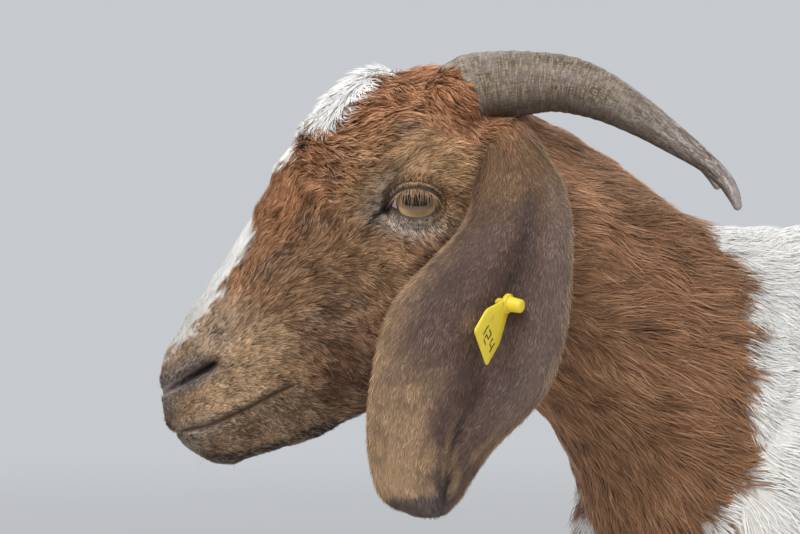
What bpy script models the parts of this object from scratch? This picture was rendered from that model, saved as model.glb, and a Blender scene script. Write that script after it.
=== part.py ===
"""A life-size standing Boer goat doe with swept-back horns, long hanging ears and an ear tag.

Metres, +Z up. The goat faces -X with its left side at -Y and turns its head to its right.
"""

import math

import bmesh
import bpy
import numpy as np
from mathutils import Matrix, Vector

GAP = 0.0003  # clearance between touching pieces
WITHERS_HEIGHT = 0.716
HEAD_TURN = math.radians(35)  # yaw of the head towards the goat's right
HEAD_SLOPE = math.radians(47.6)  # how far the head's axis points below the horizontal
POLL = Vector((-0.243, 0.043, 0.798))  # between the horns, the origin of both head frames
BODY_VOXEL = 0.008
HEAD_VOXEL = 0.004
RING_SIDES = 36

TRUNK_TRIANGLES = 1120
NECK_TRIANGLES = 460
HEAD_TRIANGLES = 2000
LEG_TRIANGLES = 320
TAIL_TRIANGLES = 110
UDDER_TRIANGLES = 200

EYE_RADIUS = 0.0142
EYE_PLACE = (0.0768, 0.0455, -0.0248)  # along the head's axis, out to the side, towards the brow
EYE_OPENING = (0.0155, 0.0120, 0.0095)
EYE_ROWS = 8

HORN_SIDES = 12
HORN_STEPS = 17
RIGHT_HORN_LIFT = math.radians(6)
EAR_COLUMNS = 11
EAR_STEPS = 13
EAR_PATH_STEPS = 241
EAR_EDGE = 0.0022
EAR_MIDDLE = 0.0042

TAG_LENGTH = 0.0365
TAG_WIDTH = 0.026
TAG_BODY = 0.020
TAG_THICKNESS = 0.0018
TAG_BOSS_RADIUS = 0.0060
TAG_STUD_RADIUS = 0.0046
TAG_STUD_HEIGHT = 0.0095
TAG_PIN_RADIUS = 0.0025
TAG_BUTTON_RADIUS = 0.0080
TAG_BUTTON_THICKNESS = 0.0022
TAG_FACE = 0.0085  # how far the plate's back and the button's front stand from the ear's middle
TAG_BACK = 0.0135
TAG_PLACE = (0.44, -0.09)  # share of the ear's length, share of its half-width towards the front

HOOF_HEIGHT = 0.044
CLAW_LENGTH = 0.062
CLAW_WIDTH = 0.0225
CLAW_SPLIT = 0.0030
CLAW_SIDES = 12
TOE_REACH = 0.003  # how far the claws' middle lies ahead of the pastern's

COATS = {
    "brown": ((0.30, 0.10, 0.035), 0.90),
    "white": ((0.80, 0.79, 0.76), 0.90),
    "ear": ((0.17, 0.095, 0.060), 0.85),
    "skin": ((0.45, 0.27, 0.23), 0.75),
    "horn": ((0.20, 0.155, 0.115), 0.55),
    "hoof": ((0.10, 0.085, 0.075), 0.50),
    "eye": ((0.42, 0.28, 0.13), 0.12),
    "tag": ((0.78, 0.66, 0.05), 0.45),
}


def clear_scene():
    for obj in list(bpy.data.objects):
        bpy.data.objects.remove(obj, do_unlink=True)


def make_collection(name):
    collection = bpy.data.collections.new(name)
    bpy.context.scene.collection.children.link(collection)
    return collection


def make_materials():
    made = {}
    for name, (colour, roughness) in COATS.items():
        material = bpy.data.materials.new(name)
        material.use_nodes = True
        shader = material.node_tree.nodes["Principled BSDF"]
        shader.inputs["Base Color"].default_value = (*colour, 1.0)
        shader.inputs["Roughness"].default_value = roughness
        shader.inputs["Metallic"].default_value = 0.0
        made[name] = material
    return made


clear_scene()
parts = make_collection("goat")
guides = make_collection("guides")
materials = make_materials()


def new_object(name, mesh, collection):
    obj = bpy.data.objects.new(name, mesh)
    collection.objects.link(obj)
    if collection is guides:
        obj.hide_render = True
        obj.display_type = "WIRE"
    return obj


def mesh_from_rings(name, rings):
    """A closed loft: rings of equal length, in order along the piece, capped at both ends."""
    count = len(rings[0])
    points = [point for ring in rings for point in ring]
    faces = []
    for row in range(len(rings) - 1):
        for side in range(count):
            after = (side + 1) % count
            low = row * count
            high = low + count
            faces.append((low + side, low + after, high + after, high + side))
    faces.append(tuple(reversed(range(count))))
    faces.append(tuple(range(len(points) - count, len(points))))
    mesh = bpy.data.meshes.new(name)
    mesh.from_pydata(points, [], faces)
    tidy_mesh(mesh)
    return mesh


def tidy_mesh(mesh):
    """Makes every face a triangle that points outwards."""
    shape = bmesh.new()
    shape.from_mesh(mesh)
    bmesh.ops.recalc_face_normals(shape, faces=shape.faces)
    bmesh.ops.triangulate(shape, faces=shape.faces)
    shape.to_mesh(mesh)
    shape.free()
    mesh.update()


def smooth_through(stations, steps):
    """Points of a Catmull-Rom curve through the stations, each a tuple of numbers."""
    known = np.array(stations, float)
    padded = np.vstack([2 * known[0] - known[1], known, 2 * known[-1] - known[-2]])
    places = np.linspace(0, len(known) - 1, steps)
    found = []
    for place in places:
        start = min(int(place), len(known) - 2)
        t = place - start
        p0, p1, p2, p3 = padded[start : start + 4]
        found.append(
            p1
            + 0.5 * t * (p2 - p0)
            + t * t * (p0 - 2.5 * p1 + 2 * p2 - 0.5 * p3)
            + 0.5 * t * t * t * (3 * p1 - p0 - 3 * p2 + p3)
        )
    return found


def section(side, up_high, up_low, sides, power_high, power_low):
    """Offsets (sideways, up) of a rounded ring whose upper and lower halves differ."""
    ring = []
    for step in range(sides):
        angle = 2 * math.pi * step / sides
        across = math.cos(angle)
        rise = math.sin(angle)
        power = power_high if rise >= 0 else power_low
        reach = up_high if rise >= 0 else up_low
        wide = math.copysign(abs(across) ** (2 / power), across)
        high = math.copysign(abs(rise) ** (2 / power), rise)
        ring.append((side * wide, reach * high))
    return ring


def level_frame():
    """The head's level frame: x forward, y to the goat's left, z up, from the poll."""
    turn = math.pi - HEAD_TURN
    return Matrix.Translation(POLL) @ Matrix.Rotation(turn, 4, "Z")


def head_frame():
    """The head's own frame: x from poll to nose, y to the goat's left, z towards the brow."""
    return level_frame() @ Matrix.Rotation(HEAD_SLOPE, 4, "Y")


def ellipsoid(name, place, radii, frame=None, tilt=0.0, rows=14):
    shape = bmesh.new()
    bmesh.ops.create_uvsphere(shape, u_segments=2 * rows, v_segments=rows, radius=1.0)
    turn = Matrix.Rotation(tilt, 4, "Y")
    bmesh.ops.transform(shape, matrix=turn @ Matrix.Diagonal((*radii, 1)), verts=shape.verts)
    bmesh.ops.translate(shape, vec=place, verts=shape.verts)
    if frame is not None:
        bmesh.ops.transform(shape, matrix=frame, verts=shape.verts)
    mesh = bpy.data.meshes.new(name)
    shape.to_mesh(mesh)
    shape.free()
    return mesh


def both_sides(name, place, radii, frame=None, tilt=0.0):
    """An ellipsoid on each side of the middle plane."""
    along, out, up = place
    return [
        ellipsoid(name, (along, side * out, up), radii, frame, tilt) for side in (-1, 1)
    ]


# The body's soft forms ---------------------------------------------------------------------


def trunk_forms():
    """Barrel from brisket to rump: place along X, top, bottom, half-width, height of the widest part."""
    stations = (
        (-0.135, 0.560, 0.440, 0.040, 0.500),
        (-0.110, 0.620, 0.395, 0.080, 0.500),
        (-0.060, 0.680, 0.362, 0.104, 0.505),
        (0.000, WITHERS_HEIGHT, 0.350, 0.117, 0.500),
        (0.080, 0.712, 0.342, 0.133, 0.490),
        (0.160, 0.700, 0.332, 0.150, 0.480),
        (0.260, 0.694, 0.322, 0.165, 0.475),
        (0.360, 0.698, 0.330, 0.163, 0.485),
        (0.440, 0.706, 0.368, 0.149, 0.500),
        (0.500, 0.708, 0.410, 0.136, 0.530),
        (0.560, 0.697, 0.448, 0.121, 0.550),
        (0.610, 0.672, 0.488, 0.101, 0.575),
        (0.645, 0.640, 0.522, 0.072, 0.580),
        (0.665, 0.605, 0.545, 0.030, 0.575),
    )
    rings = []
    for x, top, bottom, half_width, widest in smooth_through(stations, 50):
        ring = section(half_width, top - widest, widest - bottom, RING_SIDES, 2.05, 2.25)
        rings.append([(x, out, widest + up) for out, up in ring])
    forms = [mesh_from_rings("barrel", rings)]
    forms += both_sides("shoulder", (-0.035, 0.075, 0.535), (0.085, 0.052, 0.135), tilt=0.35)
    forms += both_sides("haunch", (0.540, 0.082, 0.525), (0.112, 0.056, 0.140), tilt=-0.25)
    forms += both_sides("hook bone", (0.470, 0.076, 0.648), (0.062, 0.040, 0.040))
    forms += both_sides("pin bone", (0.632, 0.046, 0.598), (0.033, 0.026, 0.034))
    forms.append(ellipsoid("brisket", (-0.072, 0, 0.435), (0.064, 0.058, 0.086)))
    return forms


def neck_forms():
    """The neck between a crest line and a throat line, each a row of (x, y, z), with a half-width."""
    stations = (
        (-0.240, 0.042, 0.776, -0.268, 0.060, 0.672, 0.044),
        (-0.220, 0.027, 0.783, -0.252, 0.051, 0.632, 0.054),
        (-0.190, 0.016, 0.769, -0.232, 0.040, 0.610, 0.060),
        (-0.141, 0.008, 0.743, -0.205, 0.028, 0.596, 0.066),
        (-0.100, 0.003, 0.731, -0.174, 0.015, 0.562, 0.075),
        (-0.055, 0.000, 0.724, -0.142, 0.006, 0.500, 0.088),
        (-0.005, 0.000, 0.714, -0.088, 0.000, 0.420, 0.100),
    )
    rings = []
    for row in smooth_through(stations, 30):
        crest = Vector(row[:3])
        throat = Vector(row[3:6])
        middle = crest.lerp(throat, 0.52)
        up = (crest - throat).normalized()
        turn = HEAD_TURN * min(1, max(0, (-0.06 - row[0]) / 0.16))
        aside = Vector((-math.sin(turn), -math.cos(turn), 0))
        ring = section(row[6], (crest - middle).length, (middle - throat).length, RING_SIDES, 1.9, 2.1)
        rings.append([middle + aside * out + up * rise for out, rise in ring])
    return [mesh_from_rings("neck core", rings)]


def head_forms():
    """Skull and muzzle: place along the axis, top, bottom, half-width, widest height, squareness."""
    stations = (
        (-0.016, 0.000, -0.070, 0.032, -0.030, 1.8),
        (-0.004, 0.020, -0.086, 0.042, -0.028, 1.8),
        (0.012, 0.038, -0.094, 0.049, -0.026, 1.9),
        (0.035, 0.055, -0.098, 0.055, -0.022, 2.0),
        (0.060, 0.0650, -0.102, 0.0575, -0.020, 2.1),
        (0.085, 0.0655, -0.104, 0.0560, -0.022, 2.2),
        (0.110, 0.0590, -0.106, 0.0510, -0.028, 2.2),
        (0.135, 0.0530, -0.107, 0.0455, -0.032, 2.2),
        (0.160, 0.0465, -0.105, 0.0405, -0.032, 2.2),
        (0.185, 0.0420, -0.098, 0.0365, -0.028, 2.2),
        (0.205, 0.0392, -0.088, 0.0335, -0.022, 2.2),
        (0.225, 0.0362, -0.074, 0.0315, -0.016, 2.2),
        (0.245, 0.0310, -0.064, 0.0300, -0.014, 2.2),
        (0.262, 0.0225, -0.056, 0.0265, -0.014, 2.2),
        (0.274, 0.0100, -0.049, 0.0215, -0.016, 2.2),
        (0.281, -0.002, -0.042, 0.0150, -0.020, 2.2),
        (0.2850, -0.012, -0.033, 0.0070, -0.022, 2.2),
    )
    frame = head_frame()
    rings = []
    for along, top, bottom, half_width, widest, power in smooth_through(stations, 60):
        ring = section(half_width, top - widest, widest - bottom, RING_SIDES, power, 1.75)
        rings.append([frame @ Vector((along, out, widest + up)) for out, up in ring])
    forms = [mesh_from_rings("skull", rings)]
    forms += both_sides("brow", (0.064, 0.0445, 0.002), (0.033, 0.0140, 0.019), frame, -0.5)
    forms += both_sides("cheek bone", (0.096, 0.0430, -0.044), (0.040, 0.0130, 0.014), frame, -0.2)
    forms += both_sides("jaw muscle", (0.120, 0.036, -0.070), (0.050, 0.0175, 0.036), frame)
    forms += both_sides("nostril wing", (0.262, 0.0185, 0.004), (0.016, 0.0085, 0.011), frame, 0.5)
    forms += both_sides("upper lip", (0.262, 0.0160, -0.016), (0.021, 0.0120, 0.014), frame, 0.3)
    forms += both_sides("ear root", (0.012, 0.0480, -0.036), (0.022, 0.0130, 0.018), frame)
    forms.append(ellipsoid("chin", (0.262, 0, -0.037), (0.0225, 0.0205, 0.0180), frame, 0.45))
    forms.append(ellipsoid("forelock", (0.070, 0, 0.037), (0.052, 0.036, 0.030), frame, 0.08))
    return forms


FRONT_LEG = (  # x, out from the middle, z, fore-and-aft radius, sideways radius
    (-0.030, 0.078, 0.520, 0.066, 0.040),
    (-0.008, 0.092, 0.440, 0.056, 0.036),
    (0.006, 0.094, 0.392, 0.044, 0.032),
    (0.000, 0.092, 0.340, 0.034, 0.027),
    (-0.008, 0.089, 0.285, 0.0250, 0.0220),
    (-0.012, 0.087, 0.250, 0.0245, 0.0235),
    (-0.010, 0.086, 0.225, 0.0225, 0.0215),
    (-0.003, 0.085, 0.190, 0.0170, 0.0165),
    (0.000, 0.085, 0.145, 0.0155, 0.0155),
    (0.000, 0.085, 0.105, 0.0195, 0.0190),
    (-0.003, 0.085, 0.090, 0.0205, 0.0200),
    (-0.014, 0.085, 0.064, 0.0180, 0.0190),
    (-0.024, 0.085, 0.040, 0.0235, 0.0225),
)
HIND_LEG = (
    (0.530, 0.086, 0.540, 0.108, 0.048),
    (0.515, 0.096, 0.460, 0.093, 0.047),
    (0.508, 0.102, 0.410, 0.074, 0.041),
    (0.522, 0.103, 0.362, 0.053, 0.033),
    (0.552, 0.101, 0.318, 0.036, 0.0250),
    (0.582, 0.098, 0.280, 0.0270, 0.0190),
    (0.596, 0.096, 0.250, 0.0275, 0.0200),
    (0.598, 0.095, 0.220, 0.0225, 0.0185),
    (0.594, 0.095, 0.180, 0.0180, 0.0165),
    (0.590, 0.095, 0.140, 0.0170, 0.0160),
    (0.586, 0.095, 0.105, 0.0205, 0.0190),
    (0.582, 0.095, 0.090, 0.0215, 0.0200),
    (0.571, 0.095, 0.064, 0.0185, 0.0190),
    (0.561, 0.095, 0.040, 0.0235, 0.0225),
)


DEWCLAWS = ((0.018, 0.0845), (0.608, 0.0945))  # x and distance out of each pair, behind the fetlock
DEWCLAW_SPREAD = 0.013
DEWCLAW_HEIGHT = 0.083


def leg_form(name, stations, side):
    rings = []
    for x, out, z, fore, wide in smooth_through(stations, 44):
        ring = section(wide, fore, fore, 20, 2.1, 2.1)
        rings.append([(x + along, side * out + across, z) for across, along in ring])
    return mesh_from_rings(name, rings)


def leg_forms():
    forms = [leg_form("foreleg", FRONT_LEG, side) for side in (-1, 1)]
    forms += [leg_form("hind leg", HIND_LEG, side) for side in (-1, 1)]
    forms += both_sides("elbow", (0.040, 0.094, 0.415), (0.026, 0.020, 0.034), tilt=0.3)
    forms += both_sides("knee", (-0.019, 0.087, 0.245), (0.017, 0.021, 0.026))
    forms += both_sides("hock", (0.617, 0.096, 0.268), (0.012, 0.012, 0.032), tilt=-0.25)
    forms += both_sides("stifle", (0.462, 0.106, 0.405), (0.036, 0.028, 0.044), tilt=0.3)
    for x, out in DEWCLAWS:
        for turn in (-1, 1):
            place = (x, out + turn * DEWCLAW_SPREAD, DEWCLAW_HEIGHT)
            forms += both_sides("dewclaw", place, (0.0075, 0.006, 0.010))
    return forms


def tail_forms():
    stations = (
        (0.640, 0.628, 0.032, 0.026),
        (0.664, 0.655, 0.030, 0.022),
        (0.690, 0.680, 0.029, 0.019),
        (0.712, 0.700, 0.026, 0.016),
        (0.730, 0.718, 0.018, 0.012),
        (0.738, 0.727, 0.007, 0.006),
    )
    rings = []
    for x, z, wide, thick in smooth_through(stations, 16):
        ring = section(wide, thick, thick, 16, 2, 2)
        rings.append([(x + 0.75 * up, out, z - 0.66 * up) for out, up in ring])
    return [mesh_from_rings("tail core", rings)]


# Solids from the soft forms ----------------------------------------------------------------


def use_modifier(obj, kind, **settings):
    """Adds a modifier and bakes it into the object's mesh."""
    modifier = obj.modifiers.new(kind.lower(), kind)
    for name, value in settings.items():
        setattr(modifier, name, value)
    bpy.context.view_layer.update()
    graph = bpy.context.evaluated_depsgraph_get()
    baked = bpy.data.meshes.new_from_object(obj.evaluated_get(graph))
    obj.modifiers.clear()
    obj.data = baked
    return obj


def fuse(name, forms, voxel, rounds):
    """Joins soft forms into one smooth closed skin."""
    joined = bmesh.new()
    for form in forms:
        joined.from_mesh(form)
    mesh = bpy.data.meshes.new(name)
    joined.to_mesh(mesh)
    joined.free()
    body = new_object(name, mesh, guides)
    use_modifier(body, "REMESH", mode="VOXEL", voxel_size=voxel)
    use_modifier(body, "SMOOTH", factor=0.5, iterations=rounds)
    return body


def box_guide(name, low, high, frame=None):
    shape = bmesh.new()
    bmesh.ops.create_cube(shape, size=1.0)
    low = Vector(low)
    high = Vector(high)
    bmesh.ops.scale(shape, vec=high - low, verts=shape.verts)
    bmesh.ops.translate(shape, vec=(low + high) / 2, verts=shape.verts)
    if frame is not None:
        bmesh.ops.transform(shape, matrix=frame, verts=shape.verts)
    mesh = bpy.data.meshes.new(name)
    shape.to_mesh(mesh)
    shape.free()
    return new_object(name, mesh, guides)


def grown(obj, distance):
    """A guide of the same shape with every point moved outwards."""
    mesh = obj.data.copy()
    points = np.empty(len(mesh.vertices) * 3, np.float32)
    normals = np.empty(len(mesh.vertices) * 3, np.float32)
    mesh.vertices.foreach_get("co", points)
    mesh.vertices.foreach_get("normal", normals)
    mesh.vertices.foreach_set("co", points + distance * normals)
    mesh.update()
    return new_object(obj.name + " grown", mesh, guides)


def keep_inside(obj, cell):
    return use_modifier(obj, "BOOLEAN", operation="INTERSECT", object=cell, solver="EXACT")


def cut_away(obj, cutter):
    return use_modifier(obj, "BOOLEAN", operation="DIFFERENCE", object=cutter, solver="EXACT")


def thin_out(obj, triangles):
    tidy_mesh(obj.data)
    ratio = min(1.0, triangles / len(obj.data.polygons))
    return use_modifier(obj, "DECIMATE", ratio=ratio, use_collapse_triangulate=True)


def finish(obj, name, material):
    """Names a solid, gives it its material and shows it among the parts."""
    tidy_mesh(obj.data)
    drop_slivers(obj)
    guides.objects.unlink(obj)
    parts.objects.link(obj)
    obj.hide_render = False
    obj.display_type = "TEXTURED"
    obj.name = name
    obj.data.name = name
    obj.data.materials.clear()
    obj.data.materials.append(materials[material])
    obj.data.shade_smooth()
    obj.data.set_sharp_from_angle(angle=math.radians(40))
    return obj


def drop_slivers(obj):
    """Merges points closer than a hundredth of a millimetre and removes loose crumbs of a cut."""
    shape = bmesh.new()
    shape.from_mesh(obj.data)
    bmesh.ops.remove_doubles(shape, verts=shape.verts, dist=1e-5)
    bmesh.ops.dissolve_degenerate(shape, edges=shape.edges, dist=1e-6)
    unseen = set(shape.verts)
    largest = set()
    while unseen:
        found = {unseen.pop()}
        front = list(found)
        while front:
            for edge in front.pop().link_edges:
                for vert in edge.verts:
                    if vert in unseen:
                        unseen.discard(vert)
                        found.add(vert)
                        front.append(vert)
        if len(found) > len(largest):
            largest = found
    bmesh.ops.delete(shape, geom=[v for v in shape.verts if v not in largest], context="VERTS")
    bmesh.ops.triangulate(shape, faces=shape.faces)
    shape.to_mesh(obj.data)
    shape.free()


def trimmed(source, low, high, triangles, frame=None):
    """The part of a fused body inside a box, thinned out first so that its cut faces stay flat."""
    piece = new_object("piece", source.data.copy(), guides)
    margin = Vector((0.03, 0.03, 0.03))
    loose = box_guide("loose cell", Vector(low) - margin, Vector(high) + margin, frame)
    keep_inside(piece, loose)
    thin_out(piece, triangles)
    cell = box_guide("cell", low, high, frame)
    return keep_inside(piece, cell)


FAR = 0.9  # further than any part of the goat from a cut
LEG_CELLS = {  # (low corner, high corner) of the boxes that the legs are cut from, on the left
    "leg_front_left": ((-0.09, -0.20, HOOF_HEIGHT), (0.08, -0.030, 0.345)),
    "leg_hind_left": ((0.42, -0.20, HOOF_HEIGHT), (0.70, -0.030, 0.366)),
}
NECK_CUT = Matrix.Translation((-0.098, 0, 0.60)) @ Matrix.Rotation(math.radians(28), 4, "Y")
TAIL_CELL = ((0, -0.08, -0.10), (0.2, 0.08, 0.12))
TAIL_CUT = Matrix.Translation((0.668, 0, 0.660)) @ Matrix.Rotation(math.radians(-48), 4, "Y")
HEAD_CUT = level_frame() @ Matrix.Translation((-0.036, 0, 0)) @ Matrix.Rotation(math.radians(-7), 4, "Y")


def mirrored(box):
    low, high = box
    return (low[0], -high[1], low[2]), (high[0], -low[1], high[2])


def make_legs(body):
    for name, box in LEG_CELLS.items():
        for side, corners in (("left", box), ("right", mirrored(box))):
            leg = trimmed(body, *corners, LEG_TRIANGLES)
            finish(leg, name.replace("left", side), "white")


def make_tail(body):
    tail = trimmed(body, *TAIL_CELL, TAIL_TRIANGLES, TAIL_CUT)
    finish(tail, "tail", "white")


def make_trunk(body):
    """The body without its neck, legs and tail."""
    trunk = new_object("piece", body.data.copy(), guides)
    cells = [(box, None) for corners in LEG_CELLS.values() for box in (corners, mirrored(corners))]
    cells.append((((-FAR, -0.3, -0.5), (0, 0.3, 0.5)), NECK_CUT))
    cells.append((TAIL_CELL, TAIL_CUT))
    inset = Vector((0.012, 0.012, 0.012))
    for (low, high), frame in cells:
        cut_away(trunk, box_guide("inner cell", Vector(low) + inset, Vector(high) - inset, frame))
    thin_out(trunk, TRUNK_TRIANGLES)
    space = Vector((GAP, GAP, GAP))
    for (low, high), frame in cells:
        base = Vector(low)
        if frame is None:
            base.z = -0.1
        cut_away(trunk, box_guide("outer cell", base - space, Vector(high) + space, frame))
    return trunk


def make_neck(body):
    """The length between the head's cut and the shoulders' cut."""
    neck = new_object("piece", body.data.copy(), guides)
    rear = box_guide("rear", (0.015, -FAR, -FAR), (FAR, FAR, FAR), NECK_CUT)
    front = box_guide("front", (0.020, -FAR, -FAR), (FAR, FAR, FAR), HEAD_CUT)
    cut_away(neck, rear)
    cut_away(neck, front)
    thin_out(neck, NECK_TRIANGLES)
    cut_away(neck, box_guide("rear cut", (0, -FAR, -FAR), (FAR, FAR, FAR), NECK_CUT))
    cut_away(neck, box_guide("front cut", (-GAP, -FAR, -FAR), (FAR, FAR, FAR), HEAD_CUT))
    return neck


def make_head(source):
    head = new_object("piece", source.data.copy(), guides)
    cut_away(head, box_guide("behind", (-FAR, -FAR, -FAR), (-0.012, FAR, FAR), HEAD_CUT))
    thin_out(head, HEAD_TRIANGLES)
    cut_away(head, box_guide("behind cut", (-FAR, -FAR, -FAR), (0, FAR, FAR), HEAD_CUT))
    return head


def make_eyes(head):
    """Eyeballs in open sockets."""
    frame = head_frame()
    along, out, up = EYE_PLACE
    for name, side in (("eye_right", -1), ("eye_left", 1)):
        place = (along, side * out, up)
        space = EYE_RADIUS + GAP
        socket = ellipsoid("socket", place, (space, space, space), frame, rows=EYE_ROWS)
        cut_away(head, new_object("socket", socket, guides))
        window = (along, side * (out + 0.0135), up)
        opening = ellipsoid("opening", window, EYE_OPENING, frame, -HEAD_SLOPE, rows=EYE_ROWS)
        cut_away(head, new_object("opening", opening, guides))
        ball = ellipsoid("ball", place, (EYE_RADIUS, EYE_RADIUS, EYE_RADIUS), frame, rows=EYE_ROWS)
        finish(new_object("ball", ball, guides), name, "eye")


def horn_rings(side):
    """The horn sweeps up, back and down from the crown: forward, out, up and radius from the poll."""
    stations = (
        (0.010, 0.024, -0.016, 0.0185),
        (0.000, 0.030, -0.003, 0.0222),
        (-0.024, 0.035, 0.001, 0.0203),
        (-0.054, 0.041, 0.0015, 0.0177),
        (-0.078, 0.046, -0.006, 0.0154),
        (-0.102, 0.052, -0.0195, 0.0120),
        (-0.1225, 0.058, -0.034, 0.0090),
        (-0.1405, 0.063, -0.0475, 0.0064),
        (-0.152, 0.066, -0.0585, 0.0052),
        (-0.158, 0.067, -0.068, 0.0042),
        (-0.1615, 0.068, -0.078, 0.0022),
    )
    frame = level_frame()
    if side < 0:
        frame = frame @ Matrix.Rotation(RIGHT_HORN_LIFT, 4, "Y")
    path = smooth_through(stations, HORN_STEPS)
    rings = []
    for step, row in enumerate(path):
        before = Vector(path[max(step - 1, 0)][:3])
        after = Vector(path[min(step + 1, HORN_STEPS - 1)][:3])
        forward = (after - before).normalized()
        aside = Vector((0, 1, 0))
        aside = (aside - forward * aside.dot(forward)).normalized()
        up = forward.cross(aside)
        ring = []
        for out, rise in section(0.82 * row[3], row[3], row[3], HORN_SIDES, 2, 2):
            point = Vector(row[:3]) + aside * out + up * rise
            ring.append(frame @ Vector((point.x, side * point.y, point.z)))
        rings.append(ring)
    return rings


def make_horns(spaces):
    for name, side in (("horn_right", -1), ("horn_left", 1)):
        horn = new_object("horn", mesh_from_rings("horn", horn_rings(side)), guides)
        for space in spaces:
            cut_away(horn, space)
        finish(horn, name, "horn")


EAR_ROWS = (  # front edge (forward, up), rear edge (forward, up), how far out, thickness of the middle
    (-0.004, -0.030, -0.034, -0.022, 0.044, 0.020),
    (-0.006, -0.044, -0.0435, -0.039, 0.058, 0.015),
    (-0.002, -0.062, -0.0545, -0.058, 0.072, 0.009),
    (0.004, -0.084, -0.0600, -0.082, 0.080, EAR_MIDDLE),
    (0.020, -0.104, -0.0600, -0.108, 0.084, EAR_MIDDLE),
    (0.040, -0.124, -0.0590, -0.130, 0.085, EAR_MIDDLE),
    (0.053, -0.148, -0.0560, -0.154, 0.085, EAR_MIDDLE),
    (0.060, -0.176, -0.0480, -0.180, 0.083, EAR_MIDDLE),
    (0.063, -0.202, -0.0320, -0.203, 0.080, EAR_MIDDLE),
    (0.0625, -0.226, -0.0130, -0.224, 0.077, EAR_MIDDLE),
    (0.058, -0.245, 0.000, -0.2405, 0.075, EAR_MIDDLE),
    (0.050, -0.2545, 0.0065, -0.251, 0.075, EAR_MIDDLE),
    (0.038, -0.2615, 0.0130, -0.2605, 0.075, 0.003),
)


EAR_PATH = smooth_through(EAR_ROWS, EAR_PATH_STEPS)


def ear_fold(share, across):
    """How far out the ear's sheet stands from its row: a dome whose edges turn in, with one long fold."""
    open_part = min(1.0, max(0.0, (share - 0.16) / 0.2))
    dome = 0.014 * (1 - across * across)
    turned_edge = -0.006 * max(0.0, abs(across) - 0.7) / 0.3
    line = -0.30 - 0.05 * share
    fold = -0.0095 * math.exp(-(((across - line) / 0.20) ** 2))
    end = min(1.0, max(0.0, (1.02 - share) / 0.25))
    return open_part * (dome + turned_edge + fold * end) - (1 - open_part) * 0.012 * across * across


def ear_point(share, across, side):
    """(place, thickness) at a share of the ear's length and of its half-width, rear -1 to front 1."""
    row = EAR_PATH[round(share * (EAR_PATH_STEPS - 1))]
    front = Vector((row[0], row[1]))
    rear = Vector((row[2], row[3]))
    spot = rear.lerp(front, (across + 1) / 2)
    out = row[4] + ear_fold(share, across)
    edge = min(1.0, (1 - abs(across)) / 0.25)
    thickness = EAR_EDGE + (row[5] - EAR_EDGE) * math.sqrt(max(0.0, edge))
    return Vector((spot.x, side * out, spot.y)), thickness


def make_ear(name, side, spaces):
    """A curved sheet of two faces, laid as a loft of flat rings, clear of the head and neck."""
    frame = level_frame()
    rings = []
    for step in range(EAR_STEPS):
        share = step / (EAR_STEPS - 1)
        outer = []
        inner = []
        for column in range(EAR_COLUMNS):
            across = -1 + 2 * column / (EAR_COLUMNS - 1)
            place, thickness = ear_point(share, across, side)
            half = Vector((0, side * thickness / 2, 0))
            outer.append(frame @ (place + half))
            inner.append(frame @ (place - half))
        rings.append(outer + inner[::-1])
    ear = new_object("ear", mesh_from_rings("ear", rings), guides)
    for space in spaces:
        cut_away(ear, space)
    if side > 0:
        make_tag(ear)
    finish(ear, name, "ear")


def tag_frame():
    """On the ear's outer face: x along the tag to its boss, y across it, z out of the ear."""
    place, _ = ear_point(*TAG_PLACE, 1)
    out = Vector((-0.80, 0.60, -0.05)).normalized()
    along = Vector((-0.43, -0.51, 0.74))
    along = (along - out * along.dot(out)).normalized()
    across = out.cross(along)
    turned = Matrix((along, across, out)).transposed().to_4x4()
    return level_frame() @ Matrix.Translation(place) @ turned


def disc(radius, low, high, frame):
    """A cylinder on the tag's axis between two heights."""
    shape = bmesh.new()
    bmesh.ops.create_cone(
        shape, cap_ends=True, segments=12, radius1=radius, radius2=radius, depth=high - low
    )
    bmesh.ops.translate(shape, vec=(0, 0, (low + high) / 2), verts=shape.verts)
    bmesh.ops.transform(shape, matrix=frame, verts=shape.verts)
    mesh = bpy.data.meshes.new("disc")
    shape.to_mesh(mesh)
    shape.free()
    return new_object("disc", mesh, guides)


def tag_plate(low, frame):
    """The flat plate: a rectangle that narrows to the round boss, from the boss's centre down."""
    corners = [(-TAG_LENGTH, -TAG_WIDTH / 2), (-TAG_LENGTH + TAG_BODY, -TAG_WIDTH / 2)]
    corners += [(-0.004, -TAG_BOSS_RADIUS), (-0.004, TAG_BOSS_RADIUS)]
    corners += [(-TAG_LENGTH + TAG_BODY, TAG_WIDTH / 2), (-TAG_LENGTH, TAG_WIDTH / 2)]
    rings = []
    for height in (low, low + TAG_THICKNESS):
        rings.append([frame @ Vector((x, y, height)) for x, y in corners])
    return new_object("plate", mesh_from_rings("plate", rings), guides)


def make_tag(ear):
    """A plate and stud on the ear's outer face, pinned through to a round button inside."""
    frame = tag_frame()
    overlap = 0.0005
    cut_away(ear, disc(TAG_PIN_RADIUS + GAP, -TAG_BACK, TAG_FACE, frame))
    plate = tag_plate(TAG_FACE, frame)
    for radius, low, high in (
        (TAG_BOSS_RADIUS, TAG_FACE - overlap, TAG_FACE + TAG_THICKNESS + overlap),
        (TAG_STUD_RADIUS, TAG_FACE, TAG_FACE + TAG_STUD_HEIGHT),
        (TAG_PIN_RADIUS, GAP - TAG_BACK, TAG_FACE + overlap),
    ):
        use_modifier(
            plate, "BOOLEAN", operation="UNION", object=disc(radius, low, high, frame), solver="EXACT"
        )
    finish(plate, "tag_plate", "tag")
    button = disc(TAG_BUTTON_RADIUS, -TAG_BACK - TAG_BUTTON_THICKNESS, -TAG_BACK, frame)
    finish(button, "tag_button", "tag")


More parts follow.
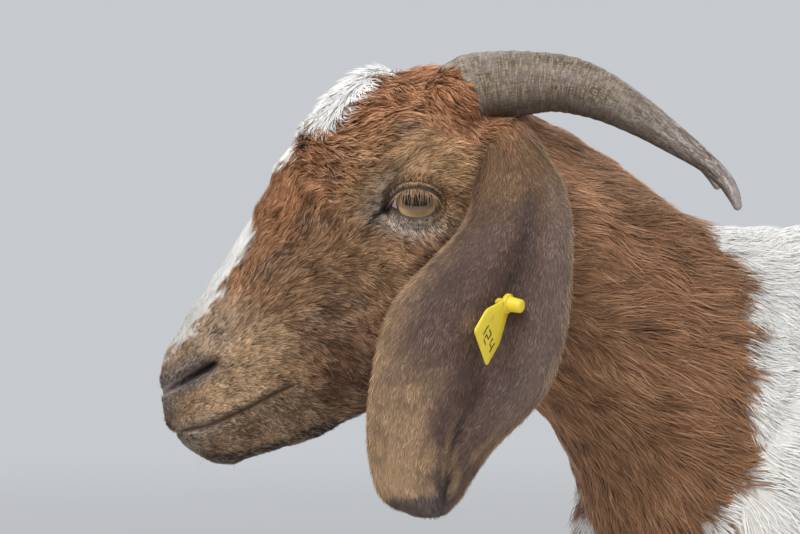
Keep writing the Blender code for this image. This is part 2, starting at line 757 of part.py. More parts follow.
def claw_rings(x, y, side):
    """One claw of a cloven hoof, from its flat sole up to the hair line: a half-pointed oval."""
    rings = []
    levels = (  # height, share of the sole's length and width, how far back
        (0.0, 1.00, 1.00, 0.000),
        (0.006, 1.00, 0.98, 0.000),
        (HOOF_HEIGHT - GAP, 0.80, 0.92, 0.007),
    )
    for height, long, wide, back in levels:
        ring = []
        for step in range(CLAW_SIDES):
            angle = 2 * math.pi * step / CLAW_SIDES
            along = math.cos(angle)
            toe = max(0.0, -along) ** 2
            reach = CLAW_LENGTH / 2 * long * along
            width = CLAW_WIDTH / 2 * wide * (1 - 0.30 * toe)
            inward = 0.0035 * side * toe
            ring.append((x + back + reach, y + width * math.sin(angle) - inward, height))
        rings.append(ring)
    return rings


def make_hooves():
    """Two claws under each foot, with flat soles on the ground."""
    for pair, stations in (("front", FRONT_LEG), ("hind", HIND_LEG)):
        x, out = stations[-1][:2]
        for flank, side in (("left", -1), ("right", 1)):
            for claw, turn in (("outer", 1), ("inner", -1)):
                middle = side * (out + turn * (CLAW_WIDTH + CLAW_SPLIT) / 2)
                rings = claw_rings(x - TOE_REACH, middle, side * turn)
                name = f"hoof_{pair}_{flank}_{claw}"
                hoof = new_object(name, mesh_from_rings(name, rings), guides)
                finish(hoof, name, "hoof")


def make_udder(trunk_space, legs):
    """A small udder with two teats between the hind legs."""
    forms = [ellipsoid("udder", (0.490, 0, 0.385), (0.058, 0.050, 0.052))]
    forms += both_sides("teat", (0.476, 0.024, 0.342), (0.0085, 0.0085, 0.022))
    udder = fuse("udder", forms, 0.004, 4)
    thin_out(udder, UDDER_TRIANGLES)
    cut_away(udder, trunk_space)
    for leg in legs:
        cut_away(udder, grown(leg, GAP))
    finish(udder, "udder", "skin")


def stand_on_origin():
    """Moves the whole goat so that the middle of its footprint is at the origin, soles at zero."""
    points = [obj.matrix_world @ Vector(corner) for obj in parts.objects for corner in obj.bound_box]
    low = [min(point[axis] for point in points) for axis in range(3)]
    high = [max(point[axis] for point in points) for axis in range(3)]
    move = Matrix.Translation((-(low[0] + high[0]) / 2, -(low[1] + high[1]) / 2, -low[2]))
    for obj in parts.objects:
        obj.data.transform(move)
    return move.to_translation()


def build():
    front = trunk_forms() + neck_forms() + head_forms()
    body = fuse("body", front + leg_forms() + tail_forms(), BODY_VOXEL, 6)
    make_legs(body)
    make_tail(body)
    trunk = make_trunk(body)
    neck = make_neck(fuse("neck source", front, BODY_VOXEL, 6))
    head = make_head(fuse("head source", head_forms() + neck_forms(), HEAD_VOXEL, 8))
    head_space = grown(head, GAP)
    make_eyes(head)
    spaces = (head_space, grown(neck, GAP))
    make_horns(spaces)
    make_ear("ear_right", -1, spaces)
    make_ear("ear_left", 1, spaces)
    make_udder(grown(trunk, GAP), [parts.objects["leg_hind_left"], parts.objects["leg_hind_right"]])
    finish(trunk, "trunk", "white")
    finish(neck, "neck", "brown")
    finish(head, "head", "brown")
    make_hooves()
    stand_on_origin()


build()
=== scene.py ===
import math

import bmesh
import bpy
import numpy as np
from mathutils import Matrix, Vector
from mathutils.bvhtree import BVHTree


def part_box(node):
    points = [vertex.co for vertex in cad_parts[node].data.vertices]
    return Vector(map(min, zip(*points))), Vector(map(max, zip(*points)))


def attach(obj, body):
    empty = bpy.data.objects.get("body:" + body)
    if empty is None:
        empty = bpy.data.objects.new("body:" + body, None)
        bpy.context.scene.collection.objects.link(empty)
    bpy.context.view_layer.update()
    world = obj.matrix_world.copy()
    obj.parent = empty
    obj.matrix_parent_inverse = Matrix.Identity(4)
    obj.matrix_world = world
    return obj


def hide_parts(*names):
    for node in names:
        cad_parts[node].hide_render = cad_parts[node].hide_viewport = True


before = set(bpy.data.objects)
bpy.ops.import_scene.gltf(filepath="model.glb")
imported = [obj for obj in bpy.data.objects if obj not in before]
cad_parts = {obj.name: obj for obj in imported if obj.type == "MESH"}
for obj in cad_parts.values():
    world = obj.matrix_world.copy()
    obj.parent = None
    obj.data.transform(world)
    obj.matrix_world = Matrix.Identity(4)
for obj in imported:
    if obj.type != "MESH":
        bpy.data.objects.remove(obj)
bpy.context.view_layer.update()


# Places and directions of the head, read from the two eyeballs of the frame.
# Level frame: forward, left, up from the poll. Head frame: along (poll to nose), left, brow.
headPose = {
    "slope": math.radians(47.6),  # how far the head's axis points below the horizontal
    "eyePlace": (0.0768, 0.0455, -0.0248),  # along, out, brow
    "pollInBody": (-0.243, 0.043, 0.798),  # the poll in the numbers of the body tables
}


def middleOf(node):
    low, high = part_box(node)
    return np.array((low + high) / 2)


leftEye = middleOf("eye_left")
rightEye = middleOf("eye_right")
towardLeft = (leftEye - rightEye) / np.linalg.norm(leftEye - rightEye)
upward = np.array((0.0, 0.0, 1.0))
forward = np.cross(towardLeft, upward)
slopeCos, slopeSin = math.cos(headPose["slope"]), math.sin(headPose["slope"])
noseward = slopeCos * forward - slopeSin * upward
browward = slopeSin * forward + slopeCos * upward
alongEye, _, browEye = headPose["eyePlace"]
poll = (leftEye + rightEye) / 2 - alongEye * noseward - browEye * browward
levelAxes = np.column_stack((forward, towardLeft, upward))
headAxes = np.column_stack((noseward, towardLeft, browward))
bodyShift = poll - np.array(headPose["pollInBody"])


def inFrame(points, axes):
    return (points - poll) @ axes


def fromFrame(local, axes):
    return poll + np.asarray(local) @ axes.T


def smooth(value, low, high):
    # 0 below low, 1 above high, and 3t^2 - 2t^3 between them
    t = np.clip((value - low) / (high - low), 0, 1)
    return t * t * (3 - 2 * t)


def hill(value, middle, width):
    # a bell curve of height 1
    return np.exp(-(((value - middle) / width) ** 2))


def between(first, second, share):
    # first where the share is 0, second where it is 1
    return first * (1 - share) + second * share


def unit(vectors):
    return vectors / np.maximum(np.linalg.norm(vectors, axis=-1, keepdims=True), 1e-9)


def ripple(points, size, seed, waves=7):
    # soft noise from about -1 to 1: the sum of sine waves of one size in scattered directions
    draw = np.random.default_rng(seed)
    ways = draw.normal(size=(3, waves))
    ways *= draw.uniform(0.6, 1.7, waves) / np.linalg.norm(ways, axis=0)
    turns = points @ ways * (2 * math.pi / size) + draw.uniform(0, 2 * math.pi, waves)
    return np.sin(turns).sum(1) * (1.35 / math.sqrt(waves) / 1.2)


def directions(*parts):
    # three arrays or numbers as rows of x, y, z
    return np.stack(np.broadcast_arrays(*parts), -1)


def smoothTable(rows, places):
    # a Catmull-Rom curve through the rows, read at shares of its length from 0 to 1
    known = np.asarray(rows, float)
    padded = np.vstack([2 * known[0] - known[1], known, 2 * known[-1] - known[-2]])
    spots = np.asarray(places) * (len(known) - 1)
    start = np.clip(spots.astype(int), 0, len(known) - 2)
    t = (spots - start)[..., None]
    p0, p1, p2, p3 = (padded[start + k] for k in range(4))
    bent = p0 - 2.5 * p1 + 2 * p2 - 0.5 * p3
    return p1 + 0.5 * t * (p2 - p0) + t * t * bent + 0.5 * t**3 * (3 * p1 - p0 - 3 * p2 + p3)


def gridFaces(rows, columns, wrap=False):
    # quads between neighbouring points of a grid, closed round the columns when wrap is set
    row, column = np.meshgrid(np.arange(rows - 1), np.arange(columns - (not wrap)), indexing="ij")
    beside = (column + 1) % columns
    below = row + 1
    corners = (row * columns + column, row * columns + beside, below * columns + beside)
    return np.stack((*corners, below * columns + column), -1).reshape(-1, 4)


def closedTube(rings):
    # a tube of rings (n, sides, 3) with a fan over each end, faces outwards
    count, sides = rings.shape[:2]
    points = np.vstack([rings.reshape(-1, 3), rings[0].mean(0), rings[-1].mean(0)])
    quads = gridFaces(count, sides, wrap=True)
    step = np.arange(sides)
    beside = (step + 1) % sides
    last = (count - 1) * sides
    first = np.stack((np.full(sides, count * sides), beside, step), -1)
    end = np.stack((np.full(sides, count * sides + 1), last + step, last + beside), -1)
    return outward(points, quads, np.vstack([first, end]))


def outward(points, *faceSets):
    # the faces turned round if the volume that they enclose comes out negative
    volume = 0.0
    for faces in faceSets:
        fan = [faces[:, [0, k, k + 1]] for k in range(1, faces.shape[1] - 1)]
        corners = points[np.vstack(fan)]
        volume += np.linalg.det(corners).sum()
    if volume < 0:
        faceSets = [faces[:, ::-1] for faces in faceSets]
    return points, *faceSets


def newMesh(name, points, *faceSets):
    mesh = bpy.data.meshes.new(name)
    counts = np.concatenate([np.full(len(faces), faces.shape[1]) for faces in faceSets])
    corners = np.concatenate([faces.ravel() for faces in faceSets]).astype(np.int32)
    starts = np.concatenate([[0], np.cumsum(counts)[:-1]]).astype(np.int32)
    mesh.vertices.add(len(points))
    mesh.vertices.foreach_set("co", np.asarray(points, np.float32).ravel())
    mesh.loops.add(len(corners))
    mesh.loops.foreach_set("vertex_index", corners)
    mesh.polygons.add(len(counts))
    mesh.polygons.foreach_set("loop_start", starts)
    mesh.polygons.foreach_set("use_smooth", np.ones(len(counts), bool))
    mesh.update(calc_edges=True)
    return mesh


def newPiece(name, mesh, material=None):
    piece = bpy.data.objects.new(name, mesh)
    bpy.context.scene.collection.objects.link(piece)
    if material:
        mesh.materials.append(material)
    return piece


def joinedShapes(shapes):
    # several (points, face set, face set...) as one, with all faces cut into triangles
    allPoints, allFaces, base = [], [], 0
    for points, *faceSets in shapes:
        allPoints.append(points)
        for faces in faceSets:
            allFaces += [faces[:, [0, k, k + 1]] + base for k in range(1, faces.shape[1] - 1)]
        base += len(points)
    return np.vstack(allPoints), np.vstack(allFaces)


def placeOnBody(piece, slot, *replaced):
    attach(piece, "root")
    if replaced:
        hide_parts(*replaced)


# Forms under the skin: lofts of rounded rings and ellipsoids, in metres.
ringSides = 48


def ringOffsets(wide, upper, lower, powerUpper, powerLower, sides=ringSides):
    # a rounded ring whose halves differ: sideways cos^(2/p), up or down sin^(2/p)
    angle = 2 * math.pi * np.arange(sides) / sides
    across, rise = np.cos(angle), np.sin(angle)
    columns = (np.atleast_1d(v)[:, None] for v in (wide, upper, lower, powerUpper, powerLower))
    wide, upper, lower, powerUpper, powerLower = columns
    power = np.where(rise >= 0, powerUpper, powerLower)
    reach = np.where(rise >= 0, upper, lower)
    sideways = wide * np.sign(across) * np.abs(across) ** (2 / power)
    return sideways, reach * np.sign(rise) * np.abs(rise) ** (2 / power)


def ball(place, radii, axes=None, tilt=0.0, rows=20):
    # an ellipsoid: sine and cosine of two angles times three radii, tilted about its side axis
    down, turn = np.meshgrid(
        np.linspace(0, math.pi, rows), 2 * math.pi * np.arange(2 * rows) / (2 * rows), indexing="ij"
    )
    flat = np.stack((np.sin(down) * np.cos(turn), np.sin(down) * np.sin(turn), np.cos(down)), -1)
    flat = flat * np.asarray(radii)
    c, s = math.cos(tilt), math.sin(tilt)
    x, y, z = flat[..., 0], flat[..., 1], flat[..., 2]
    local = np.stack((c * x + s * z, y, c * z - s * x), -1) + np.asarray(place)
    points = fromFrame(local, axes) if axes is not None else local + bodyShift
    return closedTube(points)


def pairOfBalls(place, radii, axes=None, tilt=0.0):
    along, out, up = place
    return [ball((along, side * out, up), radii, axes, tilt) for side in (-1, 1)]


headTable = (  # along, top, bottom, half-width, widest height, squareness
    (-0.016, 0.000, -0.070, 0.029, -0.036, 1.8),
    (-0.004, 0.020, -0.086, 0.037, -0.036, 1.8),
    (0.012, 0.038, -0.094, 0.045, -0.032, 1.9),
    (0.035, 0.055, -0.098, 0.055, -0.022, 2.0),
    (0.060, 0.0650, -0.102, 0.0575, -0.020, 2.1),
    (0.085, 0.0655, -0.104, 0.0560, -0.022, 2.2),
    (0.110, 0.0590, -0.106, 0.0510, -0.028, 2.2),
    (0.135, 0.0530, -0.107, 0.0455, -0.032, 2.2),
    (0.160, 0.0465, -0.105, 0.0405, -0.032, 2.2),
    (0.185, 0.0420, -0.098, 0.0365, -0.028, 2.2),
    (0.205, 0.0392, -0.088, 0.0335, -0.022, 2.2),
    (0.225, 0.0362, -0.081, 0.0315, -0.016, 2.2),
    (0.245, 0.0310, -0.0685, 0.0300, -0.014, 2.2),
    (0.262, 0.0225, -0.0560, 0.0265, -0.014, 2.2),
    (0.274, 0.0100, -0.0485, 0.0215, -0.016, 2.2),
    (0.281, -0.002, -0.0395, 0.0150, -0.020, 2.2),
    (0.2850, -0.012, -0.030, 0.0070, -0.021, 2.2),
)
neckTable = (  # crest x, y, z, throat x, y, z, half-width
    (-0.240, 0.042, 0.778, -0.268, 0.060, 0.672, 0.044),
    (-0.220, 0.027, 0.790, -0.252, 0.051, 0.632, 0.054),
    (-0.190, 0.016, 0.779, -0.232, 0.040, 0.610, 0.060),
    (-0.141, 0.008, 0.750, -0.205, 0.028, 0.596, 0.066),
    (-0.100, 0.003, 0.723, -0.174, 0.015, 0.562, 0.075),
    (-0.055, 0.000, 0.714, -0.142, 0.006, 0.500, 0.088),
    (-0.005, 0.000, 0.714, -0.088, 0.000, 0.420, 0.100),
)
trunkTable = (  # x, top, bottom, half-width, height of the widest part
    (-0.135, 0.560, 0.440, 0.040, 0.500),
    (-0.110, 0.620, 0.395, 0.080, 0.500),
    (-0.060, 0.680, 0.362, 0.104, 0.505),
    (0.000, 0.716, 0.350, 0.117, 0.500),
    (0.080, 0.712, 0.342, 0.133, 0.490),
    (0.160, 0.700, 0.332, 0.150, 0.480),
    (0.260, 0.694, 0.322, 0.165, 0.475),
    (0.360, 0.698, 0.330, 0.163, 0.485),
    (0.440, 0.706, 0.368, 0.149, 0.500),
    (0.500, 0.708, 0.410, 0.136, 0.530),
    (0.560, 0.697, 0.448, 0.121, 0.550),
    (0.610, 0.672, 0.488, 0.101, 0.575),
    (0.645, 0.640, 0.522, 0.072, 0.580),
    (0.665, 0.605, 0.545, 0.030, 0.575),
)
frontLegTable = (  # x, out from the middle, z, fore-and-aft radius, sideways radius
    (-0.030, 0.078, 0.520, 0.066, 0.040),
    (-0.008, 0.092, 0.440, 0.056, 0.036),
    (0.006, 0.094, 0.392, 0.044, 0.032),
    (0.000, 0.092, 0.340, 0.034, 0.027),
    (-0.008, 0.089, 0.285, 0.0250, 0.0220),
    (-0.012, 0.087, 0.250, 0.0245, 0.0235),
    (-0.010, 0.086, 0.225, 0.0225, 0.0215),
    (-0.003, 0.085, 0.190, 0.0170, 0.0165),
    (0.000, 0.085, 0.145, 0.0155, 0.0155),
    (0.000, 0.085, 0.105, 0.0195, 0.0190),
    (-0.003, 0.085, 0.090, 0.0205, 0.0200),
    (-0.014, 0.085, 0.064, 0.0180, 0.0190),
    (-0.024, 0.085, 0.040, 0.0235, 0.0225),
)
hindLegTable = (
    (0.530, 0.086, 0.540, 0.108, 0.048),
    (0.515, 0.096, 0.460, 0.093, 0.047),
    (0.508, 0.102, 0.410, 0.074, 0.041),
    (0.522, 0.103, 0.362, 0.053, 0.033),
    (0.552, 0.101, 0.318, 0.036, 0.0250),
    (0.582, 0.098, 0.280, 0.0270, 0.0190),
    (0.596, 0.096, 0.250, 0.0275, 0.0200),
    (0.598, 0.095, 0.220, 0.0225, 0.0185),
    (0.594, 0.095, 0.180, 0.0180, 0.0165),
    (0.590, 0.095, 0.140, 0.0170, 0.0160),
    (0.586, 0.095, 0.105, 0.0205, 0.0190),
    (0.582, 0.095, 0.090, 0.0215, 0.0200),
    (0.571, 0.095, 0.064, 0.0185, 0.0190),
    (0.561, 0.095, 0.040, 0.0235, 0.0225),
)
tailTable = (  # x, z, half-width, half-thickness
    (0.640, 0.628, 0.032, 0.026),
    (0.664, 0.655, 0.030, 0.022),
    (0.690, 0.680, 0.029, 0.019),
    (0.712, 0.700, 0.026, 0.016),
    (0.730, 0.718, 0.018, 0.012),
    (0.738, 0.727, 0.007, 0.006),
)
headBalls = (  # along, out, brow; radii; tilt
    ((0.064, 0.0445, 0.002), (0.033, 0.0140, 0.019), -0.5),  # brow
    ((0.096, 0.0430, -0.044), (0.040, 0.0130, 0.014), -0.2),  # cheek bone
    ((0.120, 0.036, -0.070), (0.050, 0.0175, 0.036), 0.0),  # jaw muscle
    ((0.262, 0.0185, 0.004), (0.016, 0.0085, 0.011), 0.5),  # wing of the nostril
    ((0.262, 0.0160, -0.016), (0.021, 0.0120, 0.014), 0.3),  # upper lip
    ((0.015, 0.0465, -0.040), (0.021, 0.0125, 0.0165), 0.0),  # root of the ear
    ((0.0138, 0.0295, 0.0015), (0.0238, 0.0262, 0.0222), 0.0),  # collar of the horn
    ((0.0200, 0.0290, 0.0090), (0.0170, 0.0190, 0.0170), 0.0),
    ((0.2690, 0.0080, -0.0085), (0.0156, 0.0132, 0.0165), 0.3),  # front of the upper lip
    ((0.2620, 0.0090, 0.0082), (0.0125, 0.0110, 0.0102), 0.4),  # nose above the lip
)
bodyBalls = (  # x, out, z; radii; tilt
    ((-0.035, 0.075, 0.535), (0.085, 0.052, 0.135), 0.35),  # shoulder
    ((0.540, 0.082, 0.525), (0.112, 0.056, 0.140), -0.25),  # haunch
    ((0.470, 0.076, 0.648), (0.062, 0.040, 0.040), 0.0),  # hook bone
    ((0.632, 0.046, 0.598), (0.033, 0.026, 0.034), 0.0),  # pin bone
    ((0.040, 0.094, 0.415), (0.026, 0.020, 0.034), 0.3),  # elbow
    ((-0.019, 0.087, 0.245), (0.017, 0.021, 0.026), 0.0),  # knee
    ((0.617, 0.096, 0.268), (0.012, 0.012, 0.032), -0.25),  # hock
    ((0.462, 0.106, 0.405), (0.036, 0.028, 0.044), 0.3),  # stifle
    ((0.018, 0.0715, 0.083), (0.0075, 0.006, 0.010), 0.0),  # dewclaws, in pairs
    ((0.018, 0.0975, 0.083), (0.0075, 0.006, 0.010), 0.0),
    ((0.608, 0.0815, 0.083), (0.0075, 0.006, 0.010), 0.0),
    ((0.608, 0.1075, 0.083), (0.0075, 0.006, 0.010), 0.0),
    ((0.476, 0.024, 0.342), (0.0085, 0.0085, 0.022), 0.0),  # teat
)


def headLoft():
    along, top, bottom, wide, widest, power = smoothTable(headTable, np.linspace(0, 1, 110)).T
    out, up = ringOffsets(wide, top - widest, widest - bottom, power, np.full(len(wide), 1.75))
    places = np.stack((np.broadcast_to(along[:, None], out.shape), out, widest[:, None] + up), -1)
    return closedTube(fromFrame(places, headAxes))


def neckLoft():
    rows = smoothTable(neckTable, np.linspace(0, 1, 60))
    crest, throat, wide = rows[:, :3], rows[:, 3:6], rows[:, 6]
    middle = crest + 0.52 * (throat - crest)
    rise = unit(crest - throat)
    turn = math.radians(35) * np.clip((-0.06 - rows[:, 0]) / 0.16, 0, 1)
    aside = np.stack((-np.sin(turn), -np.cos(turn), 0 * turn), -1)
    high = np.linalg.norm(crest - middle, axis=1)
    low = np.linalg.norm(middle - throat, axis=1)
    ones = np.ones(len(rows))
    out, up = ringOffsets(wide, high, low, 1.9 * ones, 2.1 * ones)
    places = middle[:, None] + aside[:, None] * out[..., None] + rise[:, None] * up[..., None]
    return closedTube(places + bodyShift)


def trunkLoft():
    x, top, bottom, wide, widest = smoothTable(trunkTable, np.linspace(0, 1, 120)).T
    ones = np.ones(len(x))
    out, up = ringOffsets(wide, top - widest, widest - bottom, 2.05 * ones, 2.25 * ones)
    places = np.stack((np.broadcast_to(x[:, None], out.shape), out, widest[:, None] + up), -1)
    return closedTube(places + bodyShift)


def legLoft(table, side):
    x, away, z, fore, wide = smoothTable(table, np.linspace(0, 1, 90)).T
    power = np.full(len(x), 2.1)
    across, along = ringOffsets(wide, fore, fore, power, power, sides=28)
    places = (x[:, None] + along, side * away[:, None] + across, z[:, None] + 0 * along)
    return closedTube(np.stack(places, -1) + bodyShift)


def tailLoft():
    x, z, wide, thick = smoothTable(tailTable, np.linspace(0, 1, 40)).T
    power = np.full(len(x), 2.0)
    out, up = ringOffsets(wide, thick, thick, power, power, sides=24)
    places = np.stack((x[:, None] + 0.75 * up, out, z[:, None] - 0.66 * up), -1)
    return closedTube(places + bodyShift)


def bodyForms():
    forms = [headLoft(), neckLoft(), trunkLoft(), tailLoft()]
    for side in (-1, 1):
        forms += [legLoft(frontLegTable, side), legLoft(hindLegTable, side)]
    for place, radii, tilt in headBalls:
        forms += pairOfBalls(place, radii, headAxes, tilt)
    for place, radii, tilt in bodyBalls:
        forms += pairOfBalls(place, radii, None, tilt)
    forms.append(ball((0.262, 0, -0.0345), (0.0215, 0.0205, 0.0160), headAxes, 0.45))  # chin
    forms.append(ball((0.070, 0, 0.037), (0.052, 0.036, 0.030), headAxes, 0.08))  # forelock
    forms.append(ball((-0.072, 0, 0.435), (0.064, 0.058, 0.086)))  # brisket
    forms.append(ball((0.490, 0, 0.385), (0.058, 0.050, 0.052)))  # udder
    return forms


# The skin: one fine shell round all the forms, thinned on the body and refined round the face.
skinForm = {
    "voxel": 0.0028,
    "headRounds": 7,  # rounds of smoothing
    "bodyRounds": 26,
    "bodyShare": 0.16,  # share of the body's triangles that is kept
}


def arraysOf(mesh):
    points = np.empty(len(mesh.vertices) * 3, np.float32)
    mesh.vertices.foreach_get("co", points)
    mesh.calc_loop_triangles()
    triangles = np.empty(len(mesh.loop_triangles) * 3, np.int32)
    mesh.loop_triangles.foreach_get("vertices", triangles)
    return points.reshape(-1, 3).astype(float), triangles.reshape(-1, 3)


def vertexNormals(points, triangles):
    a, b, c = (points[triangles[:, k]] for k in range(3))
    flat = np.cross(b - a, c - a)
    total = np.zeros_like(points)
    for k in range(3):
        for axis in range(3):
            total[:, axis] += np.bincount(triangles[:, k], flat[:, axis], len(points))
    return unit(total)


def relaxed(points, triangles, rounds, strength):
    # every round moves each point by strength towards the mean of its neighbours
    ends = np.concatenate([triangles[:, [0, 1]], triangles[:, [1, 2]], triangles[:, [2, 0]]])
    ends = np.concatenate([ends, ends[:, ::-1]])
    amount = np.bincount(ends[:, 0], minlength=len(points))
    for _ in range(rounds):
        mean = np.stack(
            [np.bincount(ends[:, 0], points[ends[:, 1], k], len(points)) for k in range(3)], -1
        ) / np.maximum(amount, 1)[:, None]
        points = points + strength[:, None] * (mean - points)
    return points


def headness(points):
    # 1 on the head, 0 behind a plane through the poll that leans 7 degrees
    local = inFrame(points, levelAxes)
    inside = smooth(local[:, 0] + 0.036 + 0.1228 * local[:, 2], -0.006, 0.012)
    return inside * (local[:, 2] > -0.34)


def legness(points):
    # 1 on the legs, found from the leg tables at the point's height
    best = np.zeros(len(points))
    local = points - bodyShift
    for table in (frontLegTable, hindLegTable):
        rows = np.array(table)[::-1]
        x, out, fore, wide = (np.interp(local[:, 2], rows[:, 2], rows[:, k]) for k in (0, 1, 3, 4))
        gap = np.hypot((local[:, 0] - x) / fore, (np.abs(local[:, 1]) - out) / wide)
        best = np.maximum(best, smooth(gap, 1.7, 1.35))
    return best * smooth(local[:, 2], 0.43, 0.33)


def tailness(points):
    local = points - bodyShift - np.array((0.662, 0, 0.655))
    return smooth(local @ np.array((0.669, 0, 0.743)), -0.008, 0.008) * (local[:, 0] > -0.03)


def udderness(points):
    local = (points - bodyShift - np.array((0.490, 0, 0.385))) / np.array((0.064, 0.056, 0.070))
    return smooth(np.linalg.norm(local, axis=1), 1.15, 0.95) * smooth(points[:, 2], 0.378, 0.362)


def neckShare(points):
    # 0 on the neck, 1 on the trunk, across the plane where the neck is cut
    local = points - bodyShift - np.array((-0.098, 0, 0.60))
    return smooth(local @ np.array((0.883, 0, -0.469)), -0.06, 0.05)


def pathDistance(spots, path):
    # distance from each spot to a path of straight runs, and how far along the path it lies
    best = np.full(len(spots), 9.0)
    share = np.zeros(len(spots))
    for index, (start, end) in enumerate(zip(path[:-1], path[1:])):
        start, run = np.array(start), np.array(end) - np.array(start)
        t = np.clip((spots - start) @ run / (run @ run), 0, 1)
        gap = np.linalg.norm(spots - start - t[:, None] * run, axis=1)
        share = np.where(gap < best, (index + t) / (len(path) - 1), share)
        best = np.minimum(best, gap)
    return best, share


nostrilPath = ((0.2720, 0.0125), (0.2640, 0.0105), (0.2526, 0.0070), (0.2420, 0.0035),
    (0.2345, 0.0012))
mouthPath = ((0.2860, -0.0085), (0.2809, -0.0110), (0.2675, -0.0208), (0.2458, -0.0312),
    (0.2256, -0.0382), (0.2110, -0.0445))
cornerPath = ((0.2330, -0.0300), (0.2180, -0.0300), (0.2070, -0.0330))
tearPath = ((0.0873, -0.0147), (0.0950, -0.0122), (0.1045, -0.0103))


def headCoordinates(points):
    local = inFrame(points, headAxes)
    return local[:, 0], np.abs(local[:, 1]), local[:, 2]


def coatDepth(points):
    # how far the skin lies inside the coat's outer face
    along, out, brow = headCoordinates(points)
    head = headness(points)
    crown = smooth(along, 0.125, 0.085) * smooth(brow, 0.012, 0.034)
    face = 0.0016 + 0.0035 * crown + 0.0012 * smooth(brow, -0.05, -0.09)
    face = face * smooth(along, 0.262, 0.205) + 0.0005
    neck = neckShare(points)
    body = 0.0055 * (1 - neck) + 0.0045 * neck
    body = body * (1 - legness(points)) + 0.0012 * legness(points)
    body = body * (1 - udderness(points))
    return head * face + (1 - head) * body


def makeSkinShell():
    points, faces = joinedShapes(bodyForms())
    rough = newPiece("rough", newMesh("rough", points, faces))
    shrink = rough.modifiers.new("remesh", "REMESH")
    shrink.mode = "VOXEL"
    shrink.voxel_size = skinForm["voxel"]
    graph = bpy.context.evaluated_depsgraph_get()
    points, triangles = arraysOf(rough.evaluated_get(graph).to_mesh())
    bpy.data.objects.remove(rough)
    head = headness(points)
    legs = legness(points)
    few = skinForm["headRounds"]
    points = relaxed(points, triangles, few, np.full(len(points), 0.5))
    body = 0.5 * (1 - head) * (1 - 0.7 * legs)
    points = relaxed(points, triangles, skinForm["bodyRounds"] - few, body)
    thin = newPiece("thin", newMesh("thin", points, triangles))
    group = thin.vertex_groups.new(name="body")
    plain = np.flatnonzero(headness(points) < 0.02)
    group.add(plain.tolist(), 1.0, "REPLACE")
    fewer = thin.modifiers.new("fewer", "DECIMATE")
    fewer.vertex_group = "body"
    kept = len(points) - len(plain) * (1 - skinForm["bodyShare"])
    fewer.ratio = kept / len(points)
    graph = bpy.context.evaluated_depsgraph_get()
    points, triangles = arraysOf(thin.evaluated_get(graph).to_mesh())
    bpy.data.objects.remove(thin)
    return points, triangles


def refined(points, triangles, wanted):
    # each chosen triangle's edges halved once
    shape = bmesh.new()
    mesh = newMesh("refine", points, triangles)
    shape.from_mesh(mesh)
    shape.edges.ensure_lookup_table()
    edges = [
        edge for edge in shape.edges
        if wanted[edge.verts[0].index] and wanted[edge.verts[1].index]
    ]
    bmesh.ops.subdivide_edges(shape, edges=edges, cuts=1, use_grid_fill=True)
    bmesh.ops.triangulate(shape, faces=shape.faces)
    shape.to_mesh(mesh)
    shape.free()
    found = arraysOf(mesh)
    bpy.data.meshes.remove(mesh)
    return found


def shapeFace(points, triangles):
    # nostrils, mouth, lips and hollows: each a push along the skin's normal
    normals = vertexNormals(points, triangles)
    local = inFrame(points, headAxes)
    along, out, brow = local[:, 0], np.abs(local[:, 1]), local[:, 2]
    head = headness(points)
    push = -coatDepth(points)
    sided = smooth(out, 0.0050, 0.0120)
    gap, share = pathDistance(np.stack((along, brow), -1), nostrilPath)
    slit = 0.0016 + 0.0015 * hill(share, 0.80, 0.28)
    opened = sided * (0.25 + 0.75 * smooth(share, 0.05, 0.55))
    push -= 0.0078 * np.exp(-((gap / slit) ** 2)) * opened
    push += 0.0019 * hill(gap, 0.0066, 0.0030) * smooth(along, 0.222, 0.236) * smooth(along, 0.276,
        0.262) * sided
    push += 0.0014 * smooth(along, 0.245, 0.262)
    gap, share = pathDistance(np.stack((along, brow), -1), mouthPath)
    lips = smooth(along, 0.205, 0.215) * smooth(brow, -0.06, -0.052)
    push -= 0.0034 * np.exp(-((gap / 0.0015) ** 2)) * lips * smooth(along, 0.286, 0.276)
    push += 0.0016 * hill(gap, 0.0050, 0.0030) * lips * smooth(share, 1.0, 0.7) * smooth(along,
        0.284, 0.270)
    fold, _ = pathDistance(np.stack((along, brow), -1), cornerPath)
    push -= 0.0022 * np.exp(-((fold / 0.0020) ** 2)) * smooth(out, 0.012, 0.02)
    push -= 0.0009 * np.exp(-((out / 0.0020) ** 2)) * smooth(along, 0.268, 0.276) * smooth(brow,
        -0.012, -0.004)
    push -= 0.0030 * hill(along, 0.150, 0.035) * hill(brow, -0.020, 0.020) * smooth(out, 0.02,
        0.035)
    push -= 0.0022 * hill(along, 0.040, 0.016) * hill(brow, 0.006, 0.014) * smooth(out, 0.03, 0.045)
    push += 0.0016 * hill(along, 0.100, 0.030) * hill(brow, -0.050, 0.010) * smooth(out, 0.02,
        0.035)
    gap, share = pathDistance(np.stack((along, brow), -1), tearPath)
    push -= 0.0026 * np.exp(-((gap / 0.0022) ** 2)) * smooth(share, 1.1, 0.5) * smooth(out, 0.02,
        0.035)
    push += 0.0010 * ripple(points, 0.045, 5) * (1 - head) + 0.0004 * ripple(points, 0.02, 6) * head
    return points + push[:, None] * normals


# Eyes. In the eye's own frame: x forward and level, y up, z out of the head.
eyeForm = {
    "radius": 0.0168,
    "depth": 0.0030,  # how far the eyeball's centre lies inside the frame's own eyeball centre
    "opening": (0.0146, 0.0086),  # half-sizes
    "lidThickness": 0.0014,
    "reach": 0.0125,  # how far the lids' sheet reaches from the margin
    "pit": 0.0095,
}


def eyeFrame(side):
    centre = leftEye if side > 0 else rightEye
    return centre, np.column_stack((forward, upward, side * towardLeft))


def inEye(points, side):
    centre, axes = eyeFrame(side)
    return (points - centre) @ axes


